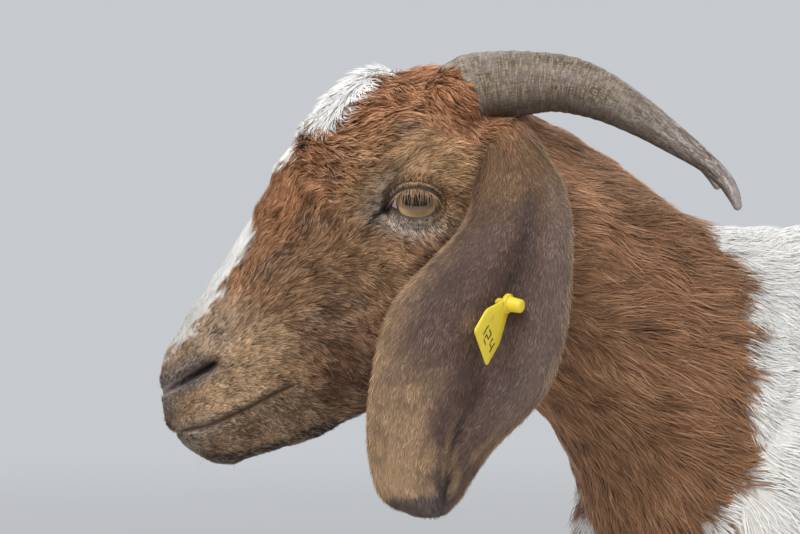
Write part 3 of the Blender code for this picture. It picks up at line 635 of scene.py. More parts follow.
def lidMargin(angle):
    # an almond: x = A cos, y = B sin, fuller above the front half, with a drawn-out front corner
    wide, high = eyeForm["opening"]
    x, y = np.cos(angle), np.sin(angle)
    pointed = 1 - 0.20 * np.abs(x) ** 5
    lift = np.where(y > 0, 1.0 + 0.10 * x, 1.02 - 0.06 * x)
    corner = 0.0020 * np.clip(x, 0, 1) ** 6
    return wide * x + corner, high * y * pointed * lift - 0.0016 * np.clip(x, 0, 1) ** 6


def openingDistance(spots):
    # about how far outside the lid margin each (x, y) lies, negative inside the opening
    wide, high = eyeForm["opening"]
    scaled = np.hypot(spots[:, 0] / wide, spots[:, 1] / high)
    length = np.hypot(spots[:, 0], spots[:, 1])
    return length * (1 - 1 / np.maximum(scaled, 0.05))


def sinkBehindLids(points):
    points = points.copy()
    for side in (-1, 1):
        local = inEye(points, side)
        near = (local[:, 2] > -0.02) & (np.hypot(local[:, 0], local[:, 1]) < 0.04)
        gap = openingDistance(local[:, :2])
        down = eyeForm["pit"] * smooth(gap, 0.0085, 0.0030) * near
        points -= down[:, None] * (side * towardLeft)
    return points


def lidSheet(tree, side):
    # rings round the opening: the margin's inner edge, its rounded lip, then a sheet over the
    # eyeball that meets the face, with two creases above and one below
    turns, rings = 120, 27
    angle = 2 * math.pi * np.arange(turns) / turns
    x, y = lidMargin(angle)
    tangent = np.stack((np.roll(x, -1) - np.roll(x, 1), np.roll(y, -1) - np.roll(y, 1)), -1)
    away = unit(np.stack((tangent[:, 1], -tangent[:, 0]), -1))
    share = np.linspace(0, 1, rings)
    step = np.concatenate([[-0.0018, -0.0008, -0.0002], eyeForm["reach"] * share**1.3])
    spots = np.stack((x, y), -1) + step[:, None, None] * away
    lip = np.concatenate([[0.0, 0.15, 0.5], 0.72 + 0.28 * np.minimum(1, share * 9)])
    radius = eyeForm["radius"] + 0.0002 + eyeForm["lidThickness"] * lip[:, None]
    level = np.maximum(radius**2 - (spots**2).sum(-1), 0.0040**2)
    onBall = np.sqrt(level) - eyeForm["depth"]
    centre, axes = eyeFrame(side)
    onFace = np.empty(spots.shape[:2])
    for row in range(len(step)):
        for column in range(turns):
            start = centre + axes @ np.array((*spots[row, column], 0.05))
            hit = tree.ray_cast(Vector(start), Vector(-side * towardLeft), 0.1)
            onFace[row, column] = inEye(np.array([hit[0] or start]), side)[0, 2]
    blend = smooth(step, 0.0010, 0.0078)[:, None]
    height = onBall * (1 - blend) + onFace * blend
    above = smooth(np.sin(angle), 0.2, 0.9)[None]
    below = smooth(-np.sin(angle), 0.1, 0.6)[None]
    gap = step[:, None]
    height += above * (0.0004 * hill(gap, 0.0022, 0.0012) - 0.0010 * hill(gap, 0.0042, 0.0009))
    height += below * (0.0003 * hill(gap, 0.0030, 0.0018) - 0.0003 * hill(gap, 0.0064, 0.0012))
    frontCorner = hill(np.arctan2(np.sin(angle + 0.35), np.cos(angle + 0.35)), 0, 0.16)[None]
    height -= 0.0024 * frontCorner * smooth(gap, 0.0, 0.002)
    height -= 0.0010 * smooth(gap, 0.0104, eyeForm["reach"])
    height += 0.0002
    local = np.concatenate([spots, height[..., None]], -1).reshape(-1, 3)
    points = centre + local @ axes.T
    faces = gridFaces(len(step), turns, wrap=True)
    first = points[faces[: turns * 3]]
    way = np.cross(first[:, 1] - first[:, 0], first[:, 3] - first[:, 0]).sum(0) @ (side
        * towardLeft)
    return points, faces if way > 0 else faces[:, ::-1]


# Ears: a sheet with two faces, given by share of its length and place across it.
earForm = {"rows": 90, "columns": 46, "edge": 0.0022}
earTable = (  # front edge forward, up; rear edge forward, up; how far out; thickness
    (-0.004, -0.030, -0.034, -0.022, 0.044, 0.020),
    (-0.006, -0.044, -0.0435, -0.039, 0.058, 0.015),
    (-0.002, -0.062, -0.0545, -0.058, 0.072, 0.009),
    (0.004, -0.084, -0.0600, -0.082, 0.080, 0.0042),
    (0.020, -0.104, -0.0600, -0.108, 0.084, 0.0042),
    (0.040, -0.124, -0.0590, -0.130, 0.085, 0.0042),
    (0.053, -0.148, -0.0560, -0.154, 0.085, 0.0042),
    (0.060, -0.176, -0.0480, -0.180, 0.083, 0.0042),
    (0.063, -0.202, -0.0320, -0.203, 0.080, 0.0042),
    (0.0625, -0.226, -0.0130, -0.224, 0.077, 0.0042),
    (0.058, -0.245, 0.000, -0.2405, 0.075, 0.0042),
    (0.050, -0.2545, 0.0065, -0.251, 0.075, 0.0042),
    (0.038, -0.2615, 0.0130, -0.2605, 0.075, 0.003),
)


def foldPlace(share):
    # where across the ear its long fold runs
    return np.interp(share, (0.2, 0.42, 0.52, 0.69, 0.83, 1.0),
        (-0.20, -0.29, -0.22, -0.20, -0.48, -0.55))


def earFold(share, across):
    # a dome whose edges turn in, with one long fold, opening from the root downwards
    opened = np.clip((share - 0.16) / 0.2, 0, 1)
    dome = 0.014 * (1 - across**2) - 0.006 * np.maximum(0, np.abs(across) - 0.7) / 0.3
    line = foldPlace(share)
    end = np.clip((1.02 - share) / 0.25, 0, 1)
    fold = -0.0095 * np.exp(-(((across - line) / 0.20) ** 2)) * end
    sharp = -0.0026 * hill(across, line, 0.040) * smooth(share, 0.5, 0.72) * smooth(share, 1.0,
        0.92)
    sharp += 0.0012 * hill(across, line + 0.12, 0.060) * smooth(share, 0.55, 0.75) * smooth(share,
        1.0, 0.92)
    soft = -0.0014 * hill(across, 0.30 - 0.9 * share, 0.09) * smooth(share, 0.55, 0.2)
    return opened * (dome + fold + sharp + soft) - (1 - opened) * 0.012 * across**2


def earSheet(side):
    rows, columns = earForm["rows"], earForm["columns"]
    share = np.linspace(0.0, 1.0, rows)
    table = smoothTable(earTable, share)
    across = np.sin(np.linspace(-math.pi / 2, math.pi / 2, columns))
    front, rear = table[:, None, 0:2], table[:, None, 2:4]
    mixed = (across[None, :, None] + 1) / 2
    spot = rear + (front - rear) * mixed
    grid, wide = np.meshgrid(share, across, indexing="ij")
    out = table[:, None, 4] + earFold(grid, wide)
    edge = np.sqrt(np.clip((1 - np.abs(wide)) / 0.25, 0, 1))
    thickness = earForm["edge"] * 0.75 + (table[:, None, 5] - earForm["edge"]) * edge
    thickness *= np.sqrt(np.clip((1.004 - grid) / 0.03, 0, 1))
    local = np.stack((spot[..., 0], side * out, spot[..., 1]), -1)
    local[..., 2] += 0.0016 * np.sin(grid * 23 + wide * 3) * np.abs(wide) ** 6 * smooth(grid, 0.3,
        0.6)
    half = np.stack((0 * out, side * thickness / 2, 0 * out), -1)
    outer, inner = local + half, local - half
    ring = np.concatenate([outer, inner[:, ::-1]], 1)
    shape = closedTube(fromFrame(ring, levelAxes))
    shares = np.concatenate([np.repeat(share, 2 * columns), [0, 1]])
    acrosses = np.concatenate([np.tile(np.concatenate([across, across[::-1]]), rows), [0, 0]])
    faces = np.concatenate([np.tile(np.repeat([1.0, -1.0], columns), rows), [1, 1]])
    down = np.gradient(local, axis=0)
    down = np.concatenate([down, down[:, ::-1]], 1)
    down = unit(down) @ levelAxes.T
    flow = np.vstack([down.reshape(-1, 3), [0, 0, -1], [0, 0, -1]])
    return shape, shares, acrosses, faces, flow


print("forms ready")
shellPoints, shellFaces = makeSkinShell()
print("shell", len(shellPoints), "points,", len(shellFaces), "triangles")


def faceZone(points):
    # where the face needs the finest skin: nostrils, lips and the skin round the eyes
    along, out, brow = headCoordinates(points)
    nostril = (pathDistance(np.stack((along, brow), -1), nostrilPath)[0] < 0.009) & (along > 0.2)
    mouth = (pathDistance(np.stack((along, brow), -1), mouthPath)[0] < 0.006) & (along > 0.195)
    tear = (pathDistance(np.stack((along, brow), -1), tearPath)[0] < 0.006) & (out > 0.03)
    return (headness(points) > 0.5) & (nostril | mouth | tear)


shellPoints, shellFaces = refined(shellPoints, shellFaces, faceZone(shellPoints))
shellPoints = shapeFace(shellPoints, shellFaces)
faceTree = BVHTree.FromPolygons(shellPoints.tolist(), shellFaces.tolist())
lids = [lidSheet(faceTree, side) for side in (-1, 1)]
shellPoints = sinkBehindLids(shellPoints)
ears = [earSheet(side) for side in (-1, 1)]
skinShapes = [(shellPoints, shellFaces)] + lids + [ear[0] for ear in ears]
skinPoints, skinFaces = joinedShapes(skinShapes)
skinNormals = vertexNormals(skinPoints, skinFaces)
skinPart = np.concatenate([np.full(len(shape[0]), k) for k, shape in enumerate(skinShapes)])
earShare = np.full(len(skinPoints), -1.0)  # -1 off the ears
earAcross = np.zeros(len(skinPoints))
earFace = np.zeros(len(skinPoints))
earFlow = np.zeros((len(skinPoints), 3))
for part, ear in enumerate(ears, start=3):
    here = skinPart == part
    earShare[here], earAcross[here], earFace[here], earFlow[here] = ear[1], ear[2], ear[3], ear[4]
print("skin", len(skinPoints), "points,", len(skinFaces), "triangles")


# Markings, shared by skin and coat, with painted shade and painted light among them. Colours are
# sRGB from 0 to 255.
coatColours = {
    "face": (188, 140, 98),
    "bridge": (212, 146, 98),
    "brow": (134, 88, 60),
    "chestnut": (190, 128, 84),
    "cheek": (158, 108, 74),
    # the lower jaw's chestnut, darkened as partly painted shade
    "jaw": (116, 76, 50),
    # a dark brown, used for darker patches and as painted shade under the jaw and between the head
    # and the ear
    "darkBrownAndShade": (112, 80, 60),
    # near black, used as painted shade along the underside of the jaw
    "throat": (46, 34, 30),
    "tan": (206, 162, 116),
    "muzzle": (222, 186, 144),
    "smoke": (126, 110, 98),
    "pale": (232, 222, 208),
    # painted light on the top of the neck
    "litNeckTop": (200, 152, 116),
    "neck": (160, 114, 80),
    "ear": (122, 96, 87),
    "earTop": (128, 98, 76),
    # the ear's dark grey, for random dark patches and for painted shade in and behind its fold
    "earDarkAndShade": (92, 73, 68),
    "earRoot": (146, 112, 80),
    # pale tan of the ear's edges and lower front, also used as a painted highlight beside the fold
    "earTanAndHighlight": (204, 168, 130),
    "earTip": (90, 78, 77),
    "earRear": (172, 154, 150),
    "earInside": (160, 130, 112),
    "white": (236, 234, 230),
    "snow": (253, 252, 250),
    "nose": (132, 120, 118),
    "margin": (44, 33, 30),
    "lip": (150, 122, 102),
    "udder": (206, 160, 146),
    "dewclaw": (84, 72, 62),
}


tuftHalf = (0.0, 0.013, 0.022, 0.028, 0.032, 0.029,
    0.0)  # the forehead tuft's half-width along the head


def whiteTuft(along, out, brow, uneven=0.0):
    # the white tuft on the forehead and the small spot before it
    wide = np.interp(along, (0.022, 0.034, 0.046, 0.060, 0.072, 0.082, 0.087), tuftHalf)
    tuft = smooth(out - wide + uneven, 0.0012, -0.0012) * (along > 0.022) * (along < 0.087)
    spot = np.hypot((along - 0.1065) / 0.0120, out / 0.0175)
    spot = smooth(spot + 70 * uneven, 1.05, 0.92)
    return np.maximum(tuft, spot) * (brow > 0.02)


def linear(colour):
    value = np.asarray(colour, float) / 255
    return np.where(value <= 0.04045, value / 12.92, ((value + 0.055) / 1.055) ** 2.4)


def fromEyes(points):
    # how far ahead of the eyes and above them each point lies
    level = (points - (leftEye + rightEye) / 2) @ levelAxes
    return level[:, 0], level[:, 2]


def underEye(points):
    # the pale speckled patch below each eye, and how strongly
    out = headCoordinates(points)[1]
    ahead, above = fromEyes(points)
    return hill(ahead, 0.006, 0.0200) * hill(above, -0.0132 + 0.12 * np.abs(ahead - 0.004),
        0.0072) * smooth(out, 0.022, 0.036)


def markings(points, share, across, face):
    # the coat's colour at each point, with its painted shade and light, and a mask of the bare
    # places
    along, out, brow = headCoordinates(points)
    head = headness(points)
    rough = ripple(points, 0.030, 11)
    fine = ripple(points, 0.009, 12)
    colour = np.tile(linear(coatColours["face"]), (len(points), 1))

    def over(mask, name):
        nonlocal colour
        amount = np.clip(mask, 0, 1)[:, None]
        colour = colour * (1 - amount) + linear(coatColours[name]) * amount

    def patch(strength, name, place, wide, height, tall, drift=0.0, rise=0.0, mask=1.0):
        # a soft patch on the head: its place and half-width along it, then up the brow
        ahead = hill(along + drift * rough, place, wide)
        over(strength * ahead * hill(brow + rise * rough, height, tall) * mask, name)

    def eyePatch(strength, name, place, wide, height, tall):
        # a soft patch near the eyes, placed ahead of them and above them
        over(strength * hill(ahead, place, wide) * hill(above, height, tall) * sided, name)

    cheek = smooth(brow + 0.01 * rough, -0.025, -0.060) * smooth(along, 0.235, 0.18)
    over(cheek * 0.95, "cheek")
    # the lower jaw: chestnut darkened as painted shade below the head
    patch(0.8, "jaw", 0.188, 0.032, -0.070, 0.020, 0.008, 0.006)
    patch(0.80, "darkBrownAndShade", 0.166, 0.038, -0.029, 0.019, 0.01, 0.007)
    # painted shade: the head's underside darkened towards the bottom of the jaw
    over(0.85 * smooth(brow + 0.008 * rough, -0.070, -0.100), "darkBrownAndShade")
    bridge = smooth(brow + 0.007 * rough, -0.004, 0.026) * smooth(along + 0.01 * rough, 0.215,
        0.130)
    crown = smooth(brow + 0.006 * rough, -0.002, 0.020) * smooth(along, 0.115, 0.075)
    crown = np.maximum(crown, smooth(along + 0.006 * rough, 0.046, 0.026)
        * smooth(brow + 0.004 * rough, -0.034, -0.020))
    over(bridge * 0.85, "chestnut")
    over(bridge * 0.85 * smooth(along + 0.006 * rough, 0.115, 0.160), "bridge")
    over(crown, "chestnut")
    patch(0.55, "brow", 0.098, 0.022, 0.028, 0.014, 0.006)
    patch(0.72, "darkBrownAndShade", 0.134, 0.011, 0.014, 0.009, 0.005, 0.003)
    patch(0.82, "darkBrownAndShade", 0.161, 0.016, 0.014, 0.012, 0.006, 0.004)
    patch(0.75, "muzzle", 0.205, 0.018, -0.011, 0.015, 0.006, 0.004)
    over(0.8 * smooth(along + 0.006 * rough, 0.190, 0.240), "muzzle")
    patch(0.35, "pale", 0.222, 0.020, 0.014, 0.014)
    sided = smooth(out, 0.022, 0.036)
    patch(0.45, "tan", 0.118, 0.018, -0.036, 0.016)
    # painted shade in the hollow between the face and the front edge of the ear
    patch(0.75, "darkBrownAndShade", 0.024, 0.011, -0.040, 0.018, mask=sided)
    ahead, above = fromEyes(points)
    browPatch = hill(ahead, 0.004, 0.034) * hill(above, 0.024 + 0.10 * ahead, 0.0185)
    over((0.85 + 0.15 * fine) * browPatch * sided, "tan")
    eyePatch(0.4, "tan", 0.034, 0.014, 0.006, 0.020)
    eyePatch(0.9, "smoke", 0.025, 0.0115, 0.001, 0.013)
    eyePatch(0.5, "tan", -0.024, 0.010, 0.004, 0.022)
    eyePatch(0.75, "smoke", 0.018, 0.0085, 0.0145 + 0.4 * (0.018 - ahead), 0.0065)
    eyePatch(0.55, "smoke", 0.010, 0.012, 0.046, 0.005)
    spots = np.stack((along, brow), -1)
    tear, tearShare = pathDistance(spots, tearPath)
    over(0.75 * np.exp(-((tear / 0.0056) ** 2)) * sided, "smoke")
    over((0.80 + 0.25 * fine) * underEye(points), "pale")
    blazeWide = np.interp(along, (0.150, 0.160, 0.175, 0.196, 0.215, 0.240),
        (0.0, 0.0155, 0.0170, 0.0176, 0.0180, 0.0170))
    blazeWide = blazeWide + 0.0012 * rough + 0.0016 * fine
    blaze = smooth(out - blazeWide, 0.0022, -0.0022) * smooth(along, 0.151, 0.158) * (brow > 0)
    over(blaze * smooth(along + 0.006 * fine, 0.266, 0.236), "white")
    over(blaze * smooth(along, 0.225, 0.190), "snow")
    over(whiteTuft(along, out, brow, 0.0018 * rough + 0.0018 * fine), "snow")
    lips, _ = pathDistance(spots, mouthPath)
    nearMouth = smooth(along, 0.200, 0.212)
    over(0.6 * np.exp(-((lips / 0.006) ** 2)) * nearMouth, "lip")
    underLip = smooth(brow - np.interp(along, (0.200, 0.2256, 0.2458, 0.2675, 0.285),
        (-0.050, -0.0382, -0.0312, -0.0208, -0.010)), 0.0, -0.006)
    over(0.65 * underLip * smooth(along, 0.195, 0.215), "darkBrownAndShade")
    # painted shade: a near-black band along the jaw's lower edge, reaching up from the underside
    bottom = np.interp(
        along,
        (0.170, 0.205, 0.225, 0.245, 0.262, 0.275, 0.281, 0.285),
        (-0.101, -0.089, -0.080, -0.068, -0.056, -0.0480, -0.0400, -0.031),
    )
    reach = np.interp(along, (0.240, 0.265), (0.0125, 0.0090))
    edge = smooth((brow - bottom + 0.002 * rough) / reach, 1.0, 0.48) * smooth(along, 0.180,
        0.205) * smooth(along, 0.288, 0.280)
    over(0.9 * edge, "throat")
    over(0.30 * smooth(along, 0.252, 0.266) * hill(brow, -0.020, 0.008), "pale")
    nostril, place = pathDistance(spots, nostrilPath)
    lobe = np.where(brow > np.interp(along, (0.2345, 0.2640, 0.2720), (0.0012, 0.0105, 0.0125)),
        0.0125, 0.0085)
    wing = np.exp(-((nostril / lobe) ** 4)) * smooth(along + 0.003 * fine, 0.228, 0.242)
    front = smooth(along + 0.0012 * rough, 0.262, 0.270) * smooth(brow, -0.006, 0.004)
    over(0.95 * np.maximum(wing, 0.9 * front), "nose")
    bare = np.maximum(np.exp(-((nostril / 0.0038) ** 4)), 0.6 * front)
    # the line where the lips meet painted near black: dark lip skin and painted shade between the
    # lips
    over(0.80 * np.exp(-((lips / 0.0014) ** 2)) * nearMouth, "margin")
    # the nostril's slit painted near black: dark skin and painted shade in the opening
    slit = 0.0015 + 0.0014 * hill(place, 0.8, 0.28)
    inside = np.exp(-((nostril / slit) ** 2)) * (0.35 + 0.75 * smooth(place, 0.0, 0.5))
    over(inside * smooth(out, 0.0050, 0.0100), "margin")
    bare = np.maximum(bare, np.exp(-((lips / 0.0022) ** 2)) * nearMouth)
    # neck and body
    colour = colour * head[:, None] + linear(coatColours["neck"]) * (1 - head[:, None])
    # painted light: the top of the neck made lighter, where the light from above falls
    over(0.7 * (1 - head) * smooth(inFrame(points, levelAxes)[:, 2] + 0.006 * rough, -0.090,
        -0.050), "litNeckTop")
    edge = -0.282 + 0.06 * (points[:, 2] - 0.618)
    line = points[:, 0] - edge + 0.006 * rough + 0.004 * fine
    over((1 - head) * smooth(line, -0.003, 0.005), "white")
    over(0.75 * (1 - head) * udderness(points), "udder")
    feet = points - bodyShift
    for x in (0.018, 0.608):
        claw = hill(feet[:, 0], x, 0.008) * hill(feet[:, 2], 0.083, 0.010)
        over(0.9 * claw * legness(points) * smooth(feet[:, 0] - x, -0.004, 0.0), "dewclaw")
    # lid margins
    for side in (-1, 1):
        local = inEye(points, side)
        near = (local[:, 2] > -0.01) & (np.hypot(local[:, 0], local[:, 1]) < 0.03)
        gap = openingDistance(local[:, :2])
        upper = smooth(local[:, 1], 0.001, 0.0075)
        over(0.9 * smooth(gap, 0.0017 + 0.0016 * upper, 0.0008 + 0.0010 * upper) * near, "margin")
        # painted shade in the upper lid's crease
        creaseShade = hill(gap, 0.0040, 0.0005) * upper * near
        over(0.40 * creaseShade, "margin")
        bare = np.maximum(bare, smooth(gap, 0.0016, 0.0008) * near)
        groove = np.exp(-((tear / (0.0038 - 0.0018 * tearShare)) ** 4))
        groove *= (np.hypot(local[:, 0], local[:, 1]) < 0.035) * (local[:, 2] > -0.02)
        over(groove, "margin")
        bare = np.maximum(bare, 0.95 * groove)
    # ears
    onEar = share >= 0
    spread = np.abs(across)
    earColour = linear(coatColours["ear"]) * np.ones((len(points), 1))
    keep, colour = colour, earColour
    gapToFold = across - foldPlace(share)
    over(0.85 * smooth(0.34 - share + 0.06 * rough, -0.06, 0.16), "earTop")
    over(0.85 * smooth(0.20 - share + 0.03 * rough, -0.06, 0.06), "earRoot")
    over(0.90 * smooth(share + 0.035 * rough, 0.48, 0.70)
        * smooth(gapToFold + 0.10 * rough, 0.18, 0.65), "earTanAndHighlight")
    over(0.55 * smooth(share + 0.04 * rough, 0.28, 0.42) * smooth(across, 0.60, 0.95), "earTanAndHighlight")
    # painted shade along the upper part of the ear's fold
    over(0.70 * hill(gapToFold, 0.0, 0.16) * smooth(share, 0.12, 0.25) * smooth(share, 0.62, 0.45),
        "earDarkAndShade")
    # painted shade on the ear's rear part behind the fold, turned away from the light
    over(0.12 * smooth(share + 0.04 * rough, 0.45, 0.58) * smooth(gapToFold, 0.05, -0.12)
        * smooth(spread, 1.0, 0.85), "earDarkAndShade")
    over(0.40 * hill(rough, 0.9, 0.5) * smooth(share, 0.1, 0.3), "earDarkAndShade")
    # painted highlight on the front lip of the lower fold's groove
    over(0.60 * hill(gapToFold, 0.09, 0.05) * smooth(share, 0.62, 0.74) * smooth(share, 1.0, 0.9),
        "earTanAndHighlight")
    # painted shade in the lower fold's groove
    over(0.75 * hill(gapToFold, -0.02, 0.045) * smooth(share, 0.52, 0.62)
        * smooth(share, 1.0, 0.9), "earDarkAndShade")
    over(0.85 * smooth(spread + 0.03 * rough, 0.90, 0.99), "earTanAndHighlight")
    over(0.30 * smooth(gapToFold, -0.25, -0.65) * smooth(share, 0.1, 0.25), "earTanAndHighlight")
    over(0.32 * smooth(gapToFold, -0.15, -0.55) * smooth(share, 0.1, 0.25)
        * smooth(share, 0.75, 0.60), "earRear")
    tipStart = share + 0.012 * rough + 0.050 * smooth(gapToFold + 0.08 * rough, 0.55, 0.08)
    over(0.90 * smooth(tipStart, 0.835, 0.885) * smooth(gapToFold, -0.4, -0.05), "earTip")
    over(0.55 * smooth(ripple(points, 0.016, 14), 0.2, 1.0) * smooth(share, 0.62, 0.75)
        * smooth(share, 0.90, 0.86), "earTanAndHighlight")
    # painted shade on the ear's front edge near its root, beside the face
    over(0.85 * smooth(across, 0.70, 0.95) * smooth(share, 0.30, 0.16), "darkBrownAndShade")
    over(0.45 * (face < 0), "earInside")
    blend = smooth(share + 0.03 * rough, 0.02, 0.09)[:, None]
    colour = np.where(onEar[:, None], keep * (1 - blend) + colour * blend, keep)
    bare = np.where(onEar, 0, bare)
    return colour, np.clip(bare, 0, 1)


# How the hair lies: directions in metres, before they are laid flat on the skin.
def hairFlow(points, normals, flowOnEar, onEar):
    along, out, brow = headCoordinates(points)
    side = np.sign(inFrame(points, headAxes)[:, 1])
    head = headness(points)[:, None]
    low = smooth(brow, 0.025, -0.055)
    local = np.stack((-1 + 0.65 * low, side * (0.35 - 0.2 * low), -0.95 * low), -1)
    crown = (smooth(along, 0.135, 0.10) * smooth(brow, -0.010, 0.020))[:, None]
    local = between(local, directions(-0.55, side * 0.5, -0.80), crown)
    poleward = smooth(along, 0.035, 0.0)[:, None]
    local = between(local, directions(-0.40, side * 0.2, -1.0), poleward)
    collar = np.sqrt((along - 0.0133) ** 2 + (out - 0.030) ** 2 + (brow - 0.002) ** 2)
    collar = (smooth(collar, 0.040, 0.024) * smooth(brow, 0.022, 0.008))[:, None]
    local = between(local, directions(0.0, side * 0.15, -1.0), collar)
    tuft = whiteTuft(along, out, brow)[:, None]
    tuftSpread = side * (0.15 + 22 * out)
    local = between(local, directions(0.85, tuftSpread, -0.2), tuft)
    world = local @ headAxes.T
    for eyeSide in (-1, 1):
        place = inEye(points, eyeSide)
        gap = openingDistance(place[:, :2])
        near = smooth(gap, 0.014, 0.004) * (place[:, 2] > -0.015) * (np.hypot(place[:, 0],
            place[:, 1]) < 0.034)
        _, axes = eyeFrame(eyeSide)
        radial = unit(np.stack((place[:, 0] - 0.006, place[:, 1] * 1.6, 0 * place[:, 0]),
            -1)) @ axes.T
        world = between(world, 0.45 * world + radial, near[:, None])
    neck = neckShare(points)[:, None]
    neckWay = np.array((0.90, -0.22, -0.30))
    trunkWay = np.array((1.0, 0.0, -0.38))
    body = between(neckWay, trunkWay, neck)
    lower = smooth(points[:, 2], 0.62, 0.40)[:, None]
    body = body + np.array((0, 0, -0.55)) * lower
    rump = smooth(points[:, 0], 0.30, 0.44)[:, None]
    body = between(body, np.array((0.35, 0, -1.0)), rump)
    top = smooth(normals[:, 2], 0.5, 0.95)[:, None]
    body = between(body, np.array((1.0, 0, 0)), top)
    legs = legness(points)[:, None]
    body = between(body, np.array((0.12, 0, -1.0)), legs)
    tail = tailness(points)[:, None]
    body = between(body, np.array((0.70, 0, 0.45)), tail)
    world = unit(world) * head + unit(body) * (1 - head)
    world = np.where(onEar[:, None], flowOnEar, world)
    swirl = 0.22 * ripple(points, 0.06, 21)[:, None] * np.cross(normals, world)
    world = world + swirl * (1 - 0.6 * onEar[:, None])
    flat = world - (world * normals).sum(1)[:, None] * normals
    return unit(flat)


def hairSizes(points, onEar, share, across):
    # length, width and lift of the hair
    along, out, brow = headCoordinates(points)
    head = headness(points)
    crown = smooth(along, 0.130, 0.090) * smooth(brow, 0.006, 0.030)
    locks = hill(along, 0.022, 0.020) * hill(brow, -0.024, 0.012) * smooth(out, 0.03, 0.045)
    tuft = whiteTuft(along, out, brow)
    length = 0.0070 + 0.0045 * crown + 0.0060 * locks - 0.0010 * tuft + 0.0025 * smooth(brow,
        -0.055, -0.095)
    length = length * (1 - 0.58 * smooth(along, 0.16, 0.24))
    length = length * (1 - 0.30 * hill(along, 0.075, 0.034) * hill(brow, -0.024, 0.030))
    lift = 0.30 + 0.06 * crown + 0.02 * tuft + 0.12 * smooth(along, 0.19, 0.25)
    width = 0.00050 + 0.00014 * crown + 0.00010 * locks + 0.00004 * smooth(along, 0.18, 0.23)
    for side in (-1, 1):
        place = inEye(points, side)
        near = (place[:, 2] > -0.015) & (np.hypot(place[:, 0], place[:, 1]) < 0.034)
        close = smooth(openingDistance(place[:, :2]), 0.016, 0.003) * near
        length = length * (1 - 0.62 * close)
        width = width - 0.00006 * close
    neck = neckShare(points)
    level = inFrame(points, levelAxes)
    fromHead = smooth(-level[:, 0], 0.03, 0.12)
    body = between(0.013 + 0.012 * fromHead, 0.024, neck)
    bodyWidth = between(0.00076, 0.00105, neck)
    bodyLift = between(0.20, 0.15, neck)
    legs = legness(points)
    body = between(body, 0.0095, legs)
    bodyWidth = between(bodyWidth, 0.0011, legs)
    bodyLift = between(bodyLift, 0.12, legs)
    tail = tailness(points)
    body = between(body, 0.034, tail)
    bodyLift = between(bodyLift, 0.30, tail)
    bodyWidth = between(bodyWidth, 0.0015, tail)
    length = length * head + body * (1 - head)
    width = width * head + bodyWidth * (1 - head)
    lift = lift * head + bodyLift * (1 - head)
    edge = smooth(np.abs(across), 0.85, 1.0)
    rooted = smooth(share, 0.20, 0.04) * onEar
    length = np.where(onEar, 0.0032 + 0.0014 * edge + 0.0050 * rooted, length)
    width = np.where(onEar, 0.00042 + 0.00010 * rooted, width)
    lift = np.where(onEar, 0.26 + 0.15 * edge, lift)
    return length, width, lift


# Materials. A Link wraps a socket, so that shader maths reads as Python.
class Link:
    def __init__(self, finish, socket):
        self.finish = finish
        self.socket = socket

    def maths(self, operation, first, second):
        return self.finish.node("Math", {"operation": operation}, {0: first, 1: second})

    def __add__(self, other):
        return self.maths("ADD", self, other)

    def __sub__(self, other):
        return self.maths("SUBTRACT", self, other)

    def __rsub__(self, other):
        return self.maths("SUBTRACT", other, self)

    def __mul__(self, other):
        return self.maths("MULTIPLY", self, other)

    def __pow__(self, other):
        return self.maths("POWER", self, other)

    __radd__ = __add__
    __rmul__ = __mul__


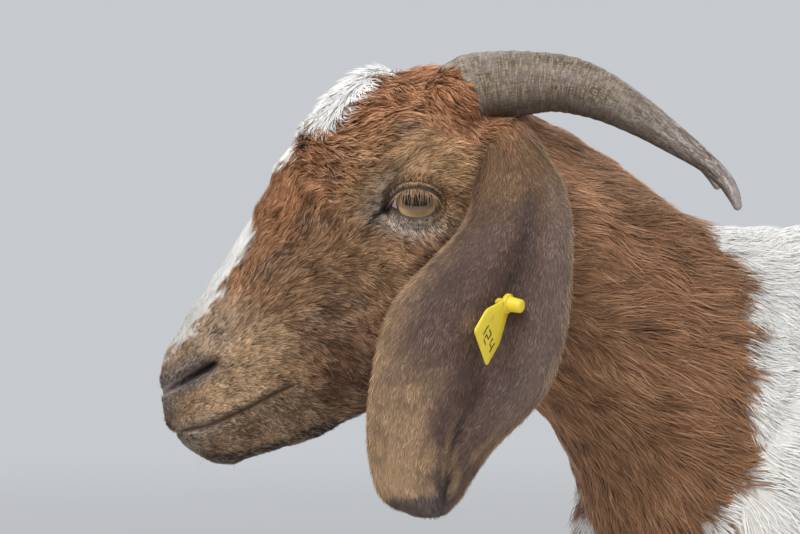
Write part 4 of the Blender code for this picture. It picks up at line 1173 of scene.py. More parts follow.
class Finish:
    # one material: its shader, and the only way that nodes are added to it
    def __init__(self, name, **constants):
        self.material = bpy.data.materials.new(name)
        self.material.use_nodes = True
        self.tree = self.material.node_tree
        self.tree.nodes.clear()
        self.shader = self.tree.nodes.new("ShaderNodeBsdfPrincipled")
        result = self.tree.nodes.new("ShaderNodeOutputMaterial")
        self.tree.links.new(self.shader.outputs[0], result.inputs[0])
        for key, value in constants.items():
            self.shader.inputs[key.replace("_", " ")].default_value = value

    def node(self, kind, settings=None, values=None, out=0):
        made = self.tree.nodes.new("ShaderNode" + kind)
        for key, value in (settings or {}).items():
            if key != "stops":
                setattr(made, key, value)
                continue
            while len(made.color_ramp.elements) < len(value):
                made.color_ramp.elements.new(0.5)
            for element, (position, colour) in zip(made.color_ramp.elements, value):
                element.position = position
                element.color = colour
        for key, value in (values or {}).items():
            if isinstance(value, Link):
                self.tree.links.new(value.socket, made.inputs[key])
            else:
                made.inputs[key].default_value = value
        return Link(self, made.outputs[out])

    def attribute(self, name, out="Fac"):
        return self.node("Attribute", {"attribute_name": name}, out=out)

    def object(self):
        return self.node("TexCoord", out="Object")

    def split(self, vector):
        # the first two numbers of a vector
        first = self.node("SeparateXYZ", values={"Vector": vector})
        return first, Link(self, first.socket.node.outputs[1])

    def stretched(self, vector, scale, rotation=(0, 0, 0), location=(0, 0, 0)):
        values = {"Vector": vector, "Scale": scale, "Rotation": rotation, "Location": location}
        return self.node("Mapping", values=values)

    def noise(self, vector, scale, detail=3.0, roughness=0.55, distortion=0.0):
        values = {"Vector": vector, "Scale": scale, "Detail": detail}
        values.update({"Roughness": roughness, "Distortion": distortion})
        return self.node("TexNoise", values=values)

    def band(self, value, low, high, start=0.0, end=1.0):
        settings = {"interpolation_type": "SMOOTHSTEP"}
        values = {"Value": value, "From Min": low, "From Max": high, "To Min": start, "To Max": end}
        return self.node("MapRange", settings, values)

    def mix(self, factor, first, second, blend="MIX"):
        settings = {"data_type": "RGBA", "blend_type": blend}
        return self.node("Mix", settings, {0: factor, 6: first, 7: second}, out=2)

    def tinted(self, colour, amount):
        # the colour made lighter or darker: HSV value times amount
        return self.node("HueSaturation", values={"Color": colour, "Value": amount})

    def bump(self, height, strength, distance):
        values = {"Height": height, "Strength": strength, "Distance": distance}
        return self.node("Bump", values=values)

    def paint(self, **links):
        for key, link in links.items():
            self.tree.links.new(link.socket, self.shader.inputs[key.replace("_", " ")])
        return self.material


def rgba(colour):
    return (*linear(colour).tolist(), 1.0)


def skinFinish():
    finish = Finish("hide", Roughness=0.72, Specular_IOR_Level=0.28)
    base = finish.attribute("markings", "Color")
    lie = finish.attribute("lie", "Vector")
    bare = finish.attribute("bare")
    streaks = finish.noise(finish.stretched(lie, (90, 900, 900)), 1.0, 2.0)
    patches = finish.noise(finish.object(), 60.0, 3.0)
    # painted shade among the hairs: under the coat the skin is darkened, less under pale hair
    light = 0.28 + 0.26 * streaks + 0.14 * patches + 0.34 * finish.attribute("pallor")
    skin = 0.72 + 0.40 * patches
    amount = light * (1 - bare) + skin * bare
    pebbles = finish.node("TexVoronoi", values={"Vector": finish.object(), "Scale": 620.0})
    height = streaks * (1 - bare) + (pebbles * 0.8 + patches * 0.5) * bare
    rough = 0.78 - 0.26 * bare
    return finish.paint(
        Base_Color=finish.tinted(base, amount),
        Roughness=rough,
        Normal=finish.bump(height, 0.45, 0.0006),
    )


def coatFinish(name, roughness, sheen):
    finish = Finish(name, Specular_IOR_Level=0.35, Sheen_Weight=sheen, Sheen_Roughness=0.4)
    base = finish.attribute("markings", "Color")
    shade = finish.attribute("shade")
    run = finish.attribute("run")
    patches = finish.noise(finish.object(), 45.0, 3.0)
    depth = finish.attribute("depth")
    # painted shade deep in the coat: each strand darkens towards its root, as strongly as depth
    # says
    rooted = 1 - 0.62 * (depth * (1 - run))
    strand = 1 + 1.7 * (depth * (shade - 0.5))
    amount = rooted * strand * (0.96 + 0.16 * patches)
    # the tips of the lighter strands mixed towards a pale tan
    paleTipMix = (depth ** 2.0) * run * finish.band(shade, 0.45, 0.95) * 0.42
    return finish.paint(
        Base_Color=finish.tinted(finish.mix(paleTipMix, base, rgba((214, 190, 160))), amount),
        Roughness=roughness + 0.1 * (1 - shade),
    )


# The coat. A tuft is a narrow ridge: rings of three points that taper to one tip.
hairDraw = np.random.default_rng(29)
coatPlan = {
    # name: (tufts, rings below the tip, spread of direction, wave, follows the skin,
    #        contrast, size of the locks, how far tips gather in them)
    "coat_face_left": (98000, 1, 0.26, 0.0, False, 1.2, 0.0024, 0.42),
    "coat_face_right": (62000, 1, 0.26, 0.0, False, 1.2, 0.0024, 0.42),
    "coat_crown": (32500, 2, 0.26, 0.40, False, 1.1, 0.0048, 0.65),
    "coat_neck_left": (30000, 2, 0.20, 0.30, True, 0.75, 0.0070, 0.55),
    "coat_neck_right": (20000, 2, 0.20, 0.30, True, 0.75, 0.0070, 0.55),
    "coat_trunk_left": (30000, 2, 0.18, 0.25, True, 0.6, 0.0120, 0.50),
    "coat_trunk_right": (28000, 2, 0.18, 0.25, True, 0.6, 0.0120, 0.50),
    "coat_legs": (18000, 2, 0.18, 0.10, False, 0.6, 0.0050, 0.35),
    "coat_tail": (2600, 4, 0.30, 0.30, False, 0.6, 0.0100, 0.40),
    "coat_ears": (97000, 1, 0.22, 0.0, False, 0.66, 0.0020, 0.25),
}


def zoneOf(points, onEar, inside):
    # which coat piece each place belongs to
    along, out, brow = headCoordinates(points)
    left = inFrame(points, headAxes)[:, 1] > 0
    head = headness(points) > 0.5
    crown = head & (along < 0.132) & (brow > 0.012 + 0.10 * np.maximum(0, along - 0.09))
    crown |= head & (along < 0.045) & (brow > -0.038)
    zone = np.where(left, "coat_face_left", "coat_face_right").astype(object)
    zone[crown] = "coat_crown"
    leftBody = points[:, 1] < 0
    trunk = neckShare(points) > 0.5
    bodyZone = np.where(trunk, "coat_trunk_", "coat_neck_").astype(object)
    bodyZone = bodyZone + np.where(leftBody, "left", "right").astype(object)
    zone = np.where(head, zone, bodyZone)
    zone[(legness(points) > 0.5) & ~head] = "coat_legs"
    zone[(tailness(points) > 0.5) & ~head] = "coat_tail"
    zone[onEar] = "coat_ears"
    zone[inside] = ""
    return zone


clawTop = 0.0435  # no hair grows below this height


def hiddenPlaces(points, part, share):
    # skin that no hair grows on: behind the lids, under the claws, inside the head
    hidden = np.zeros(len(points), bool)
    for side in (-1, 1):
        local = inEye(points, side)
        near = (local[:, 2] > -0.02) & (np.hypot(local[:, 0], local[:, 1]) < 0.04)
        gap = openingDistance(local[:, :2])
        hidden |= (part == 0) & near & (gap < 0.0098)
    hidden |= points[:, 2] < clawTop
    hidden |= (part >= 3) & (share < 0.015)
    return hidden


corners = skinPoints[skinFaces]
faceArea = np.linalg.norm(np.cross(corners[:, 1] - corners[:, 0], corners[:, 2] - corners[:, 0]),
    axis=1) / 2
faceMiddle = corners.mean(1)
facePart = skinPart[skinFaces[:, 0]]
faceShare = earShare[skinFaces].mean(1)
faceHidden = hiddenPlaces(faceMiddle, facePart, faceShare)
faceZoneName = zoneOf(faceMiddle, facePart >= 3, faceHidden)
faceLength, faceWidth, _ = hairSizes(faceMiddle, facePart >= 3, faceShare,
    earAcross[skinFaces].mean(1))
faceWeight = faceArea / (faceLength * faceWidth)
skinTree = BVHTree.FromPolygons(skinPoints.tolist(), skinFaces.tolist())


def sownRoots(zone, count):
    # roots scattered evenly over the zone's triangles, thicker where the hair is smaller
    weight = np.where(faceZoneName == zone, faceWeight, 0)
    pick = hairDraw.choice(len(weight), count, p=weight / weight.sum())
    u, v = hairDraw.random((2, count))
    fold = u + v > 1
    u, v = np.where(fold, 1 - u, u), np.where(fold, 1 - v, v)
    share = np.stack((1 - u - v, u, v), -1)

    def read(values):
        found = values[skinFaces[pick]]
        return (found * share.reshape(count, 3, *[1] * (found.ndim - 2))).sum(1)

    flags = (facePart[pick] >= 3, facePart[pick])
    return (
        read(skinPoints), unit(read(skinNormals)), read(earShare), read(earAcross),
        read(earFace), read(earFlow), flags,
    )


def bakePlace(zone, roots, part, share, across, face):
    # where a root lies on a flat map of its part: along the part, and the angle round it
    if zone == "coat_ears":
        u = 0.02 + 0.44 * (across + 1) / 2 + 0.5 * (face < 0)
        v = 0.02 + 0.45 * share + 0.5 * (part == 4)
    elif zone.startswith("coat_face") or zone == "coat_crown":
        along, out, brow = headCoordinates(roots)
        side = np.sign(inFrame(roots, headAxes)[:, 1])
        u = 0.05 + 0.9 * (along + 0.04) / 0.34
        v = 0.5 + 0.46 * np.arctan2(side * out, brow + 0.02) / math.pi
    elif zone == "coat_legs":
        leg = (roots[:, 0] > 0.1) * 2 + (roots[:, 1] > 0)
        local = roots - bodyShift
        x = np.where(leg > 1, np.interp(local[:, 2], np.array(hindLegTable)[::-1, 2],
            np.array(hindLegTable)[::-1, 0]),
                     np.interp(local[:, 2], np.array(frontLegTable)[::-1, 2],
                     np.array(frontLegTable)[::-1, 0]))
        u = 0.005 + 0.25 * leg + 0.24 * (0.5 + np.arctan2(np.abs(local[:, 1]) - 0.092,
            local[:, 0] - x) / (2 * math.pi))
        v = 0.03 + 0.94 * np.clip(local[:, 2] / 0.45, 0, 1)
    elif zone == "coat_tail":
        local = roots - bodyShift - np.array((0.69, 0, 0.68))
        u = 0.5 + 0.45 * np.arctan2(local[:, 1], local @ np.array((0.75, 0, -0.66))) / math.pi
        v = 0.5 + 4.0 * (local @ np.array((0.70, 0, 0.70)))
    else:
        local = roots - bodyShift
        u = 0.04 + 0.92 * np.clip((local[:, 0] + 0.30) / 1.02, 0, 1)
        v = 0.5 + 0.46 * np.arctan2(local[:, 1], local[:, 2] - 0.52) / math.pi
    return np.clip(np.stack((u, v), -1), 0.002, 0.998)


patchSize = 0.003  # a tuft's patch on the bake map
jumpLimit = 0.0045  # a hair that has to move further than this to lie on the skin stays as it is


def laidOnSkin(places, heights):
    # the places moved to the skin's nearest point and raised from it by the heights
    flat = places.reshape(-1, 3)
    spots = np.empty_like(flat)
    ways = np.empty_like(flat)
    for index, place in enumerate(flat.tolist()):
        spot, way, _, _ = skinTree.find_nearest(place)
        spots[index] = spot
        ways[index] = way
    return (spots + ways * heights.reshape(-1, 1)).reshape(places.shape), ways.reshape(places.shape)


def locksOf(roots, size):
    # roots grouped in warped cubes: each root's group, how many share it, and its middle
    warp = np.stack([ripple(roots, 3.1 * size, seed) for seed in (51, 52, 53)], -1)
    cells = np.floor((roots + 0.35 * size * warp) / size).astype(np.int64)
    cells = cells - cells.min(0)
    wide = cells.max(0) + 1
    keys = (cells[:, 0] * wide[1] + cells[:, 1]) * wide[2] + cells[:, 2]
    _, member, members = np.unique(keys, return_inverse=True, return_counts=True)
    middle = np.stack([np.bincount(member, roots[:, k]) / members for k in range(3)], -1)
    return member, members, middle


def makeTufts(name, material):
    count, rings, spread, wave, follows, contrast, lock, gather = coatPlan[name]
    roots, normals, share, across, face, flowOnEar, (onEar, part) = sownRoots(name, count)
    colour, bare = markings(roots, np.where(onEar, share, -1), across, face)
    keep = hairDraw.random(count) > bare * 1.15
    if name == "coat_legs" or name.startswith("coat_trunk"):
        keep &= hairDraw.random(count) > 0.7 * udderness(roots)
    pack = (roots, normals, share, across, face, flowOnEar, onEar, part, colour)
    roots, normals, share, across, face, flowOnEar, onEar, part, colour = (v[keep] for v in pack)
    count = len(roots)
    length, width, lift = hairSizes(roots, onEar, share, across)
    length *= hairDraw.uniform(0.65, 1.25, count)
    width *= hairDraw.uniform(0.75, 1.3, count)
    lift *= hairDraw.uniform(0.5, 1.5, count)
    flow = hairFlow(roots, normals, flowOnEar, onEar)
    lean = spread * (0.75 * hairDraw.normal(size=count) + 0.9 * ripple(roots, 3 * lock, 31))
    aside = np.cross(normals, flow)
    flow = flow * np.cos(lean)[:, None] + aside * np.sin(lean)[:, None]
    member, members, middle = locksOf(roots, lock)

    def shared(values):
        mean = [np.bincount(member, values[:, k]) / members for k in range(3)]
        return np.stack(mean, -1)[member]

    flow = 0.5 * flow + 0.5 * shared(flow)
    flow = unit(flow - (flow * normals).sum(1)[:, None] * normals)
    aside = np.cross(normals, flow)
    pull = middle[member] - roots
    pull = pull - (pull * normals).sum(1)[:, None] * normals
    lockShade = hairDraw.normal(size=len(members))[member]
    steps = np.linspace(0, 1, rings + 1)  # the last is the tip
    nearEye = sum(smooth(openingDistance(inEye(roots, side)[:, :2]), 0.0090, 0.0040)
        * (inEye(roots, side)[:, 2] > -0.01) for side in (-1, 1))
    speckled = np.clip(underEye(roots) + 0.8 * nearEye, 0, 1) * ~onEar
    bend = wave * (hairDraw.normal(size=count) * 0.5 + 0.8 * ripple(roots, 0.022, 33))
    sway = np.sin(steps * 4.2)[None] * bend[:, None] * 0.22 * length[:, None]
    rise = length[:, None] * lift[:, None] * (steps * (1.25 - 0.55 * steps))[None]
    run = length[:, None] * steps[None]
    line = roots[:, None] + flow[:, None] * run[..., None] + aside[:, None] * sway[..., None]
    along, _, brow = headCoordinates(roots)
    muzzle = np.maximum(smooth(along, 0.17, 0.23), 0.8 * smooth(along, 0.10, 0.15)
        * smooth(brow, 0.02, -0.01)) * headness(roots)
    held = gather * (1 - 0.65 * np.maximum(muzzle, speckled))
    line = line + pull[:, None] * (held[:, None] * steps**1.2)[..., None]
    ways = np.repeat(normals[:, None], rings + 1, axis=1)
    if follows:
        laid, laidWays = laidOnSkin(line[:, 1:], rise[:, 1:])
        jump = (np.linalg.norm(laid - line[:, 1:], axis=-1) > jumpLimit).any(1)[:, None, None]
        line[:, 1:] = np.where(jump, line[:, 1:] + ways[:, 1:] * rise[:, 1:, None], laid)
        ways[:, 1:] = np.where(jump, ways[:, 1:], laidWays)
    else:
        line = line + ways * rise[..., None]
    line[:, 0] -= normals * (0.12 * width)[:, None]
    if rings == 1:
        taper = np.array((1.0,))
    else:
        taper = np.concatenate([[0.8], 1.05 - 0.55 * steps[1:-1] ** 1.5])
    half = width[:, None] * taper[None] / 2
    sides = np.repeat(aside[:, None], rings, axis=1)
    base = line[:, :-1]
    leftEdge = base - sides * half[..., None]
    rightEdge = base + sides * half[..., None]
    ridge = base + ways[:, :-1] * (0.75 * half)[..., None]
    points = np.concatenate([np.stack((leftEdge, ridge, rightEdge), 2).reshape(count, -1, 3),
        line[:, -1:]], 1)
    perTuft = points.shape[1]
    faces = []
    for ring in range(rings - 1):
        for column in (0, 1):
            near, far = 3 * ring + column, 3 * ring + 3 + column
            faces += [(near, near + 1, far + 1), (near, far + 1, far)]
    last = 3 * (rings - 1)
    faces += [(last, last + 1, perTuft - 1), (last + 1, last + 2, perTuft - 1)]
    faces = np.array(faces)[:, ::-1]
    triangles = (np.arange(count)[:, None, None] * perTuft + faces[None]).reshape(-1, 3)
    flat = points.reshape(-1, 3)
    first = flat[triangles[:2000]]
    way = np.cross(first[:, 1] - first[:, 0], first[:, 2] - first[:, 0])
    toward = (way * np.repeat(normals[: -(-2000 // len(faces))], len(faces), 0)[: len(way)]).sum(1)
    if (toward > 0).mean() < 0.5:
        triangles = triangles[:, ::-1]
    mesh = newMesh(name, flat, triangles)
    rows = np.concatenate([np.repeat(steps[:-1], 3), [1.0]])
    columns = np.concatenate([np.tile((-0.5, 0.0, 0.5), rings), [0.0]])
    shade = 0.5 + (0.18 + 0.24 * speckled) * hairDraw.normal(size=count) + (0.10
        * (1 - speckled)) * lockShade
    shade = np.clip(shade + 0.07 * ripple(roots, 0.02, 36), 0, 1)
    pallor = smooth(colour.min(1), 0.5, 0.85) * (1 - speckled)
    addNumbers(mesh, "depth", np.repeat(contrast * (1 - 0.8 * pallor), perTuft))
    addNumbers(mesh, "shade", np.repeat(shade, perTuft))
    addNumbers(mesh, "run", np.tile(rows, count))
    addColours(mesh, "markings", np.repeat(colour, perTuft, axis=0))
    centre = bakePlace(name, roots, part, share, across, face)
    patch = patchSize * np.stack((columns, rows - 0.5), -1)
    bakeMap = (centre[:, None] + patch[None]).reshape(-1, 2)
    layer = mesh.uv_layers.new(name="OFBake")
    layer.data.foreach_set("uv", bakeMap[triangles.ravel()].astype(np.float32).ravel())
    piece = newPiece(name, mesh, material)
    print(name, len(triangles), "triangles")
    return piece


def addNumbers(mesh, name, values):
    mesh.attributes.new(name, "FLOAT", "POINT").data.foreach_set("value", values.astype(np.float32))


def addVectors(mesh, name, values):
    layer = mesh.attributes.new(name, "FLOAT_VECTOR", "POINT")
    layer.data.foreach_set("vector", values.astype(np.float32).ravel())


def addColours(mesh, name, values):
    layer = mesh.attributes.new(name, "FLOAT_COLOR", "POINT")
    full = np.concatenate([values, np.ones((len(values), 1))], 1)
    layer.data.foreach_set("color", full.astype(np.float32).ravel())


# The skin piece.
hide = skinFinish()
skinColour, skinBare = markings(skinPoints, earShare, earAcross, earFace)
skinMesh = newMesh("skin", skinPoints, skinFaces)
onEarPoints = earShare >= 0
lengthwise = np.where(headness(skinPoints)[:, None] > 0.5, inFrame(skinPoints, headAxes),
    skinPoints)
earPlaces = np.stack((earShare * 0.24, earAcross * 0.05, earFace * 0.01), -1)
lie = np.where(onEarPoints[:, None], earPlaces, lengthwise)
addColours(skinMesh, "markings", skinColour)
addNumbers(skinMesh, "bare", skinBare)
muzzle = smooth(headCoordinates(skinPoints)[0], 0.17, 0.23) * headness(skinPoints)
skinPallor = np.maximum(smooth(skinColour.min(1), 0.5, 0.85),
    0.55 * muzzle) * (1 - 0.9 * underEye(skinPoints))
addNumbers(skinMesh, "pallor", skinPallor)
addVectors(skinMesh, "lie", lie)
skin = newPiece("skin", skinMesh, hide)
placeOnBody(
    skin, "coat_white", "head", "neck", "trunk", "tail", "udder", "ear_left", "ear_right",
    "leg_front_left", "leg_front_right", "leg_hind_left", "leg_hind_right",
)
print("skin piece made")

# The coat pieces.
softCoat = coatFinish("coat", 0.58, 0.10)
slots = {"coat_trunk_left": "coat_white", "coat_trunk_right": "coat_white",
    "coat_legs": "coat_white"}
slots.update({"coat_tail": "coat_white", "coat_ears": "coat_ear"})
for pieceName in coatPlan:
    placeOnBody(makeTufts(pieceName, softCoat), slots.get(pieceName, "coat_brown"))


# Single hairs: lashes over the eyes, whiskers on the lips and chin.
strayPlan = {
    "lashes": 70, "lashLength": 0.0124, "lashWidth": 0.00054,
    "whiskers": 18, "whiskerLength": 0.010, "whiskerWidth": 0.00028,
    "lashColour": (170, 138, 104), "whiskerColour": (196, 180, 156),
}


def bladeRows(starts, ways, bends, widths, aside, rows=6):
    # tapering three-sided hairs: start + way t + bend t^2, width falling to a point
    t = np.linspace(0, 1, rows)
    line = starts[:, None] + ways[:, None] * t[None, :, None] + bends[:, None] * (t**2)[None, :,
        None]
    reach = widths[:, None] * (1 - 0.92 * t[None] ** 1.5) / 2
    forwardWay = unit(np.gradient(line, axis=1))
    sideways = unit(aside[:, None] - forwardWay * (aside[:, None] * forwardWay).sum(-1,
        keepdims=True))
    upright = np.cross(forwardWay, sideways)
    turn = 2 * math.pi * np.arange(3) / 3
    ring = line[:, :, None] + reach[..., None, None] * (
        sideways[:, :, None] * np.cos(turn)[None, None, :, None] + upright[:, :, None]
        * np.sin(turn)[None, None, :, None]
    )
    return [closedTube(blade) for blade in ring]


def strayFinish(name, colour):
    finish = Finish(name, Roughness=0.45, Specular_IOR_Level=0.4)
    tone = finish.noise(finish.object(), 400.0, 2.0)
    return finish.paint(Base_Color=finish.tinted(rgba(colour), 0.55 + 0.9 * tone))


def makeStrays():
    draw = np.random.default_rng(57)
    shapes = []
    for side in (-1, 1):
        count = strayPlan["lashes"]
        angle = np.linspace(0.62, 2.70, count) + draw.normal(size=count) * 0.03
        x, y = lidMargin(angle)
        centre, axes = eyeFrame(side)
        lashBall = eyeForm["radius"] + 0.0002 + eyeForm["lidThickness"] * 0.8
        z = np.sqrt(lashBall**2 - x**2 - y**2) - eyeForm["depth"]
        size = strayPlan["lashLength"] * draw.uniform(0.6, 1.15,
            count) * (0.75 + 0.35 * np.sin(angle))
        drop = draw.uniform(0.35, 0.95, count)
        way = np.stack((x * 12 + draw.normal(size=count) * 0.16, -0.15 - drop * 0.25,
            0.80 + 0 * x), -1)
        way = way * size[:, None]
        bend = np.stack((6 * x, -0.62 * drop, -0.56 + 0 * x), -1) * size[:, None]
        widths = strayPlan["lashWidth"] * draw.uniform(0.7, 1.2, count)
        starts = centre + np.stack((x, y, z), -1) @ axes.T
        aside = np.tile(axes[:, 0], (count, 1))
        shapes += bladeRows(starts, way @ axes.T, bend @ axes.T, widths, aside)
    points, faces = joinedShapes(shapes)
    lashes = newPiece("lashes", newMesh("lashes", points, faces),
        strayFinish("lash", strayPlan["lashColour"]))
    placeOnBody(lashes, "eye")
    count = strayPlan["whiskers"]
    along = draw.uniform(0.225, 0.285, count)
    brow = -0.010 - draw.random(count) ** 1.2 * 0.050
    side = np.where(draw.random(count) < 0.55, 1, -1)
    starts, normals = [], []
    for a, b, flank in zip(along, brow, side):
        origin = fromFrame(np.array((a, flank * 0.08, b)), headAxes)
        spot, normal, _, _ = skinTree.ray_cast(Vector(origin), Vector(-flank * headAxes[:, 1]))
        starts.append(np.array(spot) if spot is not None else np.zeros(3))
        normals.append(np.array(normal) if spot is not None else np.zeros(3))
    starts, normals = np.array(starts), np.array(normals)
    found = np.linalg.norm(starts, axis=1) > 0
    starts, normals = starts[found], normals[found]
    count = len(starts)
    size = strayPlan["whiskerLength"] * draw.uniform(0.4, 1.25, count)
    way = normals + 0.9 * headAxes[:, 0] - 0.25 * upward + 0.3 * draw.normal(size=(count, 3))
    bend = -0.30 * upward * size[:, None] + 0.1 * draw.normal(size=(count, 3)) * size[:, None]
    widths = strayPlan["whiskerWidth"] * draw.uniform(0.7, 1.2, count)
    blades = bladeRows(starts - normals * 0.0005, unit(way) * size[:, None], bend, widths,
        np.tile(upward, (count, 1)))
    points, faces = joinedShapes(blades)
    whiskers = newPiece("whiskers", newMesh("whiskers", points, faces),
        strayFinish("whisker", strayPlan["whiskerColour"]))
    placeOnBody(whiskers, "coat_brown")


makeStrays()
print("lashes and whiskers made")


# Eyeballs: a ball whose front bulges as the cornea, painted by distance from its axis.
irisColours = {"ring": (190, 156, 112), "inner": (132, 104, 74), "halo": (98, 78, 64),
    "outer": (74, 54, 44), "white": (168, 146, 160)}


def eyeFinish():
    finish = Finish("eyeball", Roughness=0.10, Specular_IOR_Level=0.22, Coat_Weight=0.25,
        Coat_Roughness=0.02)
    across = finish.attribute("across", "Vector")
    x, y = finish.split(across)
    radius = (x * x + y * y) ** 0.5
    pupilX, pupilY = (x - 0.0007) * (1 / 0.0086), (y - 0.0012) * (1 / 0.0037)
    bar = ((pupilX * pupilX) ** 1.4 + (pupilY * pupilY) ** 1.4) ** (1 / 2.8)
    turned = finish.node("Math", {"operation": "ARCTAN2"}, {0: y, 1: x})
    spokes = finish.node("CombineXYZ", values={"X": turned * 7.0, "Y": radius * 120.0})
    fibres = finish.noise(spokes, 3.0, 3.0)
    iris = finish.mix(finish.band(radius, 0.0060, 0.0115), rgba(irisColours["inner"]),
        rgba(irisColours["ring"]))
    lidShade = 1 - 0.62 * finish.band(y, -0.0005, 0.0068)
    iris = finish.tinted(iris, (0.62 + 0.76 * fibres) * lidShade)
    iris = finish.mix(finish.band(bar, 1.70, 1.15) * 0.75, iris, rgba(irisColours["halo"]))
    iris = finish.mix(finish.band(radius, 0.0113, 0.0126), iris, rgba(irisColours["outer"]))
    eye = finish.mix(finish.band(radius, 0.0128, 0.0133), iris, rgba(irisColours["white"]))
    pupil = finish.band(bar + 0.16 * fibres, 1.16, 0.98)
    return finish.paint(Base_Color=finish.mix(pupil, eye, (0.010, 0.009, 0.010, 1)))


def makeEye(side, material):
    # radius of the ball plus a cornea of 1.3 mm that fades out at 55 degrees from the axis
    name = "eyeball_left" if side > 0 else "eyeball_right"
    down, turn = np.meshgrid(np.linspace(0, math.pi, 60), 2 * math.pi * np.arange(96) / 96,
        indexing="ij")
    radius = eyeForm["radius"] + 0.0013 * smooth(down, 0.95, 0.45)
    flat = np.stack((np.sin(down) * np.cos(turn), np.sin(down) * np.sin(turn), np.cos(down)), -1)
    local = flat * radius[..., None]
    local[..., 2] -= eyeForm["depth"]
    centre, axes = eyeFrame(side)
    points, quads, ends = closedTube(centre + local @ axes.T)
    mesh = newMesh(name, points, quads, ends)
    places = inEye(points, side)
    places[:, 0] += 0.0010
    places[:, 1] -= 0.0004
    addVectors(mesh, "across", places)
    eye = newPiece(name, mesh, material)
    placeOnBody(eye, "eye", "eye_left" if side > 0 else "eye_right")


eyeLook = eyeFinish()
for side in (-1, 1):
    makeEye(side, eyeLook)
print("eyes made")


# Horns: rings along a path that sweeps up, back and down, with growth rings near the root.
hornForm = {"steps": 260, "sides": 56, "flatness": 0.82, "rings": 34, "lift": math.radians(6)}
hornTable = (  # forward, out, up, radius
    (0.010, 0.024, -0.016, 0.0185),
    (0.000, 0.030, -0.003, 0.0222),
    (-0.024, 0.035, 0.001, 0.0203),
    (-0.054, 0.041, 0.0015, 0.0177),
    (-0.078, 0.046, -0.006, 0.0154),
    (-0.102, 0.052, -0.0195, 0.0120),
    (-0.1225, 0.058, -0.034, 0.0090),
    (-0.1405, 0.063, -0.0475, 0.0064),
    (-0.152, 0.066, -0.0585, 0.0052),
    (-0.158, 0.067, -0.068, 0.0042),
    (-0.1615, 0.068, -0.078, 0.0022),
)


def hornFinish():
    finish = Finish("horn", Specular_IOR_Level=0.45)
    run = finish.attribute("run")
    around = finish.attribute("around", "Vector")
    lengthways = finish.noise(finish.stretched(around, (9, 9, 3.2)), 1.0, 5.0, 0.7, 0.8)
    specks = finish.noise(finish.stretched(around, (26, 26, 15)), 1.0, 5.0, 0.8, 0.5)
    rings = finish.noise(finish.stretched(around, (0.8, 0.8, 26)), 1.0, 5.0, 0.75, 0.6)
    blotches = finish.noise(finish.stretched(around, (3.2, 3.2, 1.4)), 1.0, 4.0, 0.65, 0.6)
    crossways = finish.noise(finish.stretched(around, (3.2, 3.2, 46)), 1.0, 4.0, 0.72, 0.5)
    rooted = finish.band(run, 0.56, 0.30)
    grain = lengthways * (1 - rooted) + crossways * rooted
    under = finish.attribute("under")
    dark = finish.mix(finish.band(blotches, 0.40, 0.62), rgba((108, 94, 84)), rgba((76, 61, 43)))
    lilac = finish.noise(finish.stretched(around, (2.2, 2.2, 2.0), (3.0, 1.0, 7.0)), 1.0, 3.0)
    dark = finish.mix(finish.band(lilac, 0.52, 0.68) * 0.5, dark, rgba((140, 126, 130)))
    light = finish.mix(finish.band(run, 0.2, 0.8), rgba((166, 150, 122)), rgba((214, 204, 200)))
    streak = finish.band(grain + 0.8 * specks - 0.40, 0.42, 0.72)
    horn = finish.mix(streak * (0.38 + 0.64 * (run * run)), dark, light)
    horn = finish.mix(finish.band(run, 0.74, 0.92) * 0.40, horn, rgba((188, 176, 172)))
    flecks = finish.band(crossways + 0.5 * specks, 0.70, 0.94) * finish.band(run, 0.62, 0.40)
    horn = finish.mix(flecks * 0.50, horn, rgba((180, 164, 136)))
    base = finish.band(run, 0.17, 0.05)
    horn = finish.mix(base * finish.band(specks + 0.4 * rings, 0.58, 0.80) * 0.75, horn,
        rgba((206, 196, 180)))
    horn = finish.mix(base * 0.25, horn, rgba((160, 146, 126)))
    # painted shade on the horn's underside
    horn = finish.mix(under * 0.70, horn, rgba((62, 48, 36)))
    horn = finish.mix(finish.band(rings + 0.6 * specks, 0.86, 1.02) * 0.55, horn,
        rgba((70, 58, 48)))
    horn = finish.mix(finish.band(run, 0.92, 0.99) * 0.4, horn, rgba((150, 140, 132)))
    height = rings * 0.9 + lengthways * 0.5 + specks * 0.6
    return finish.paint(
        Base_Color=finish.tinted(horn, 0.50 + 1.0 * specks),
        Roughness=0.42 + 0.22 * blotches,
        Normal=finish.bump(height, 0.55, 0.0009),
    )


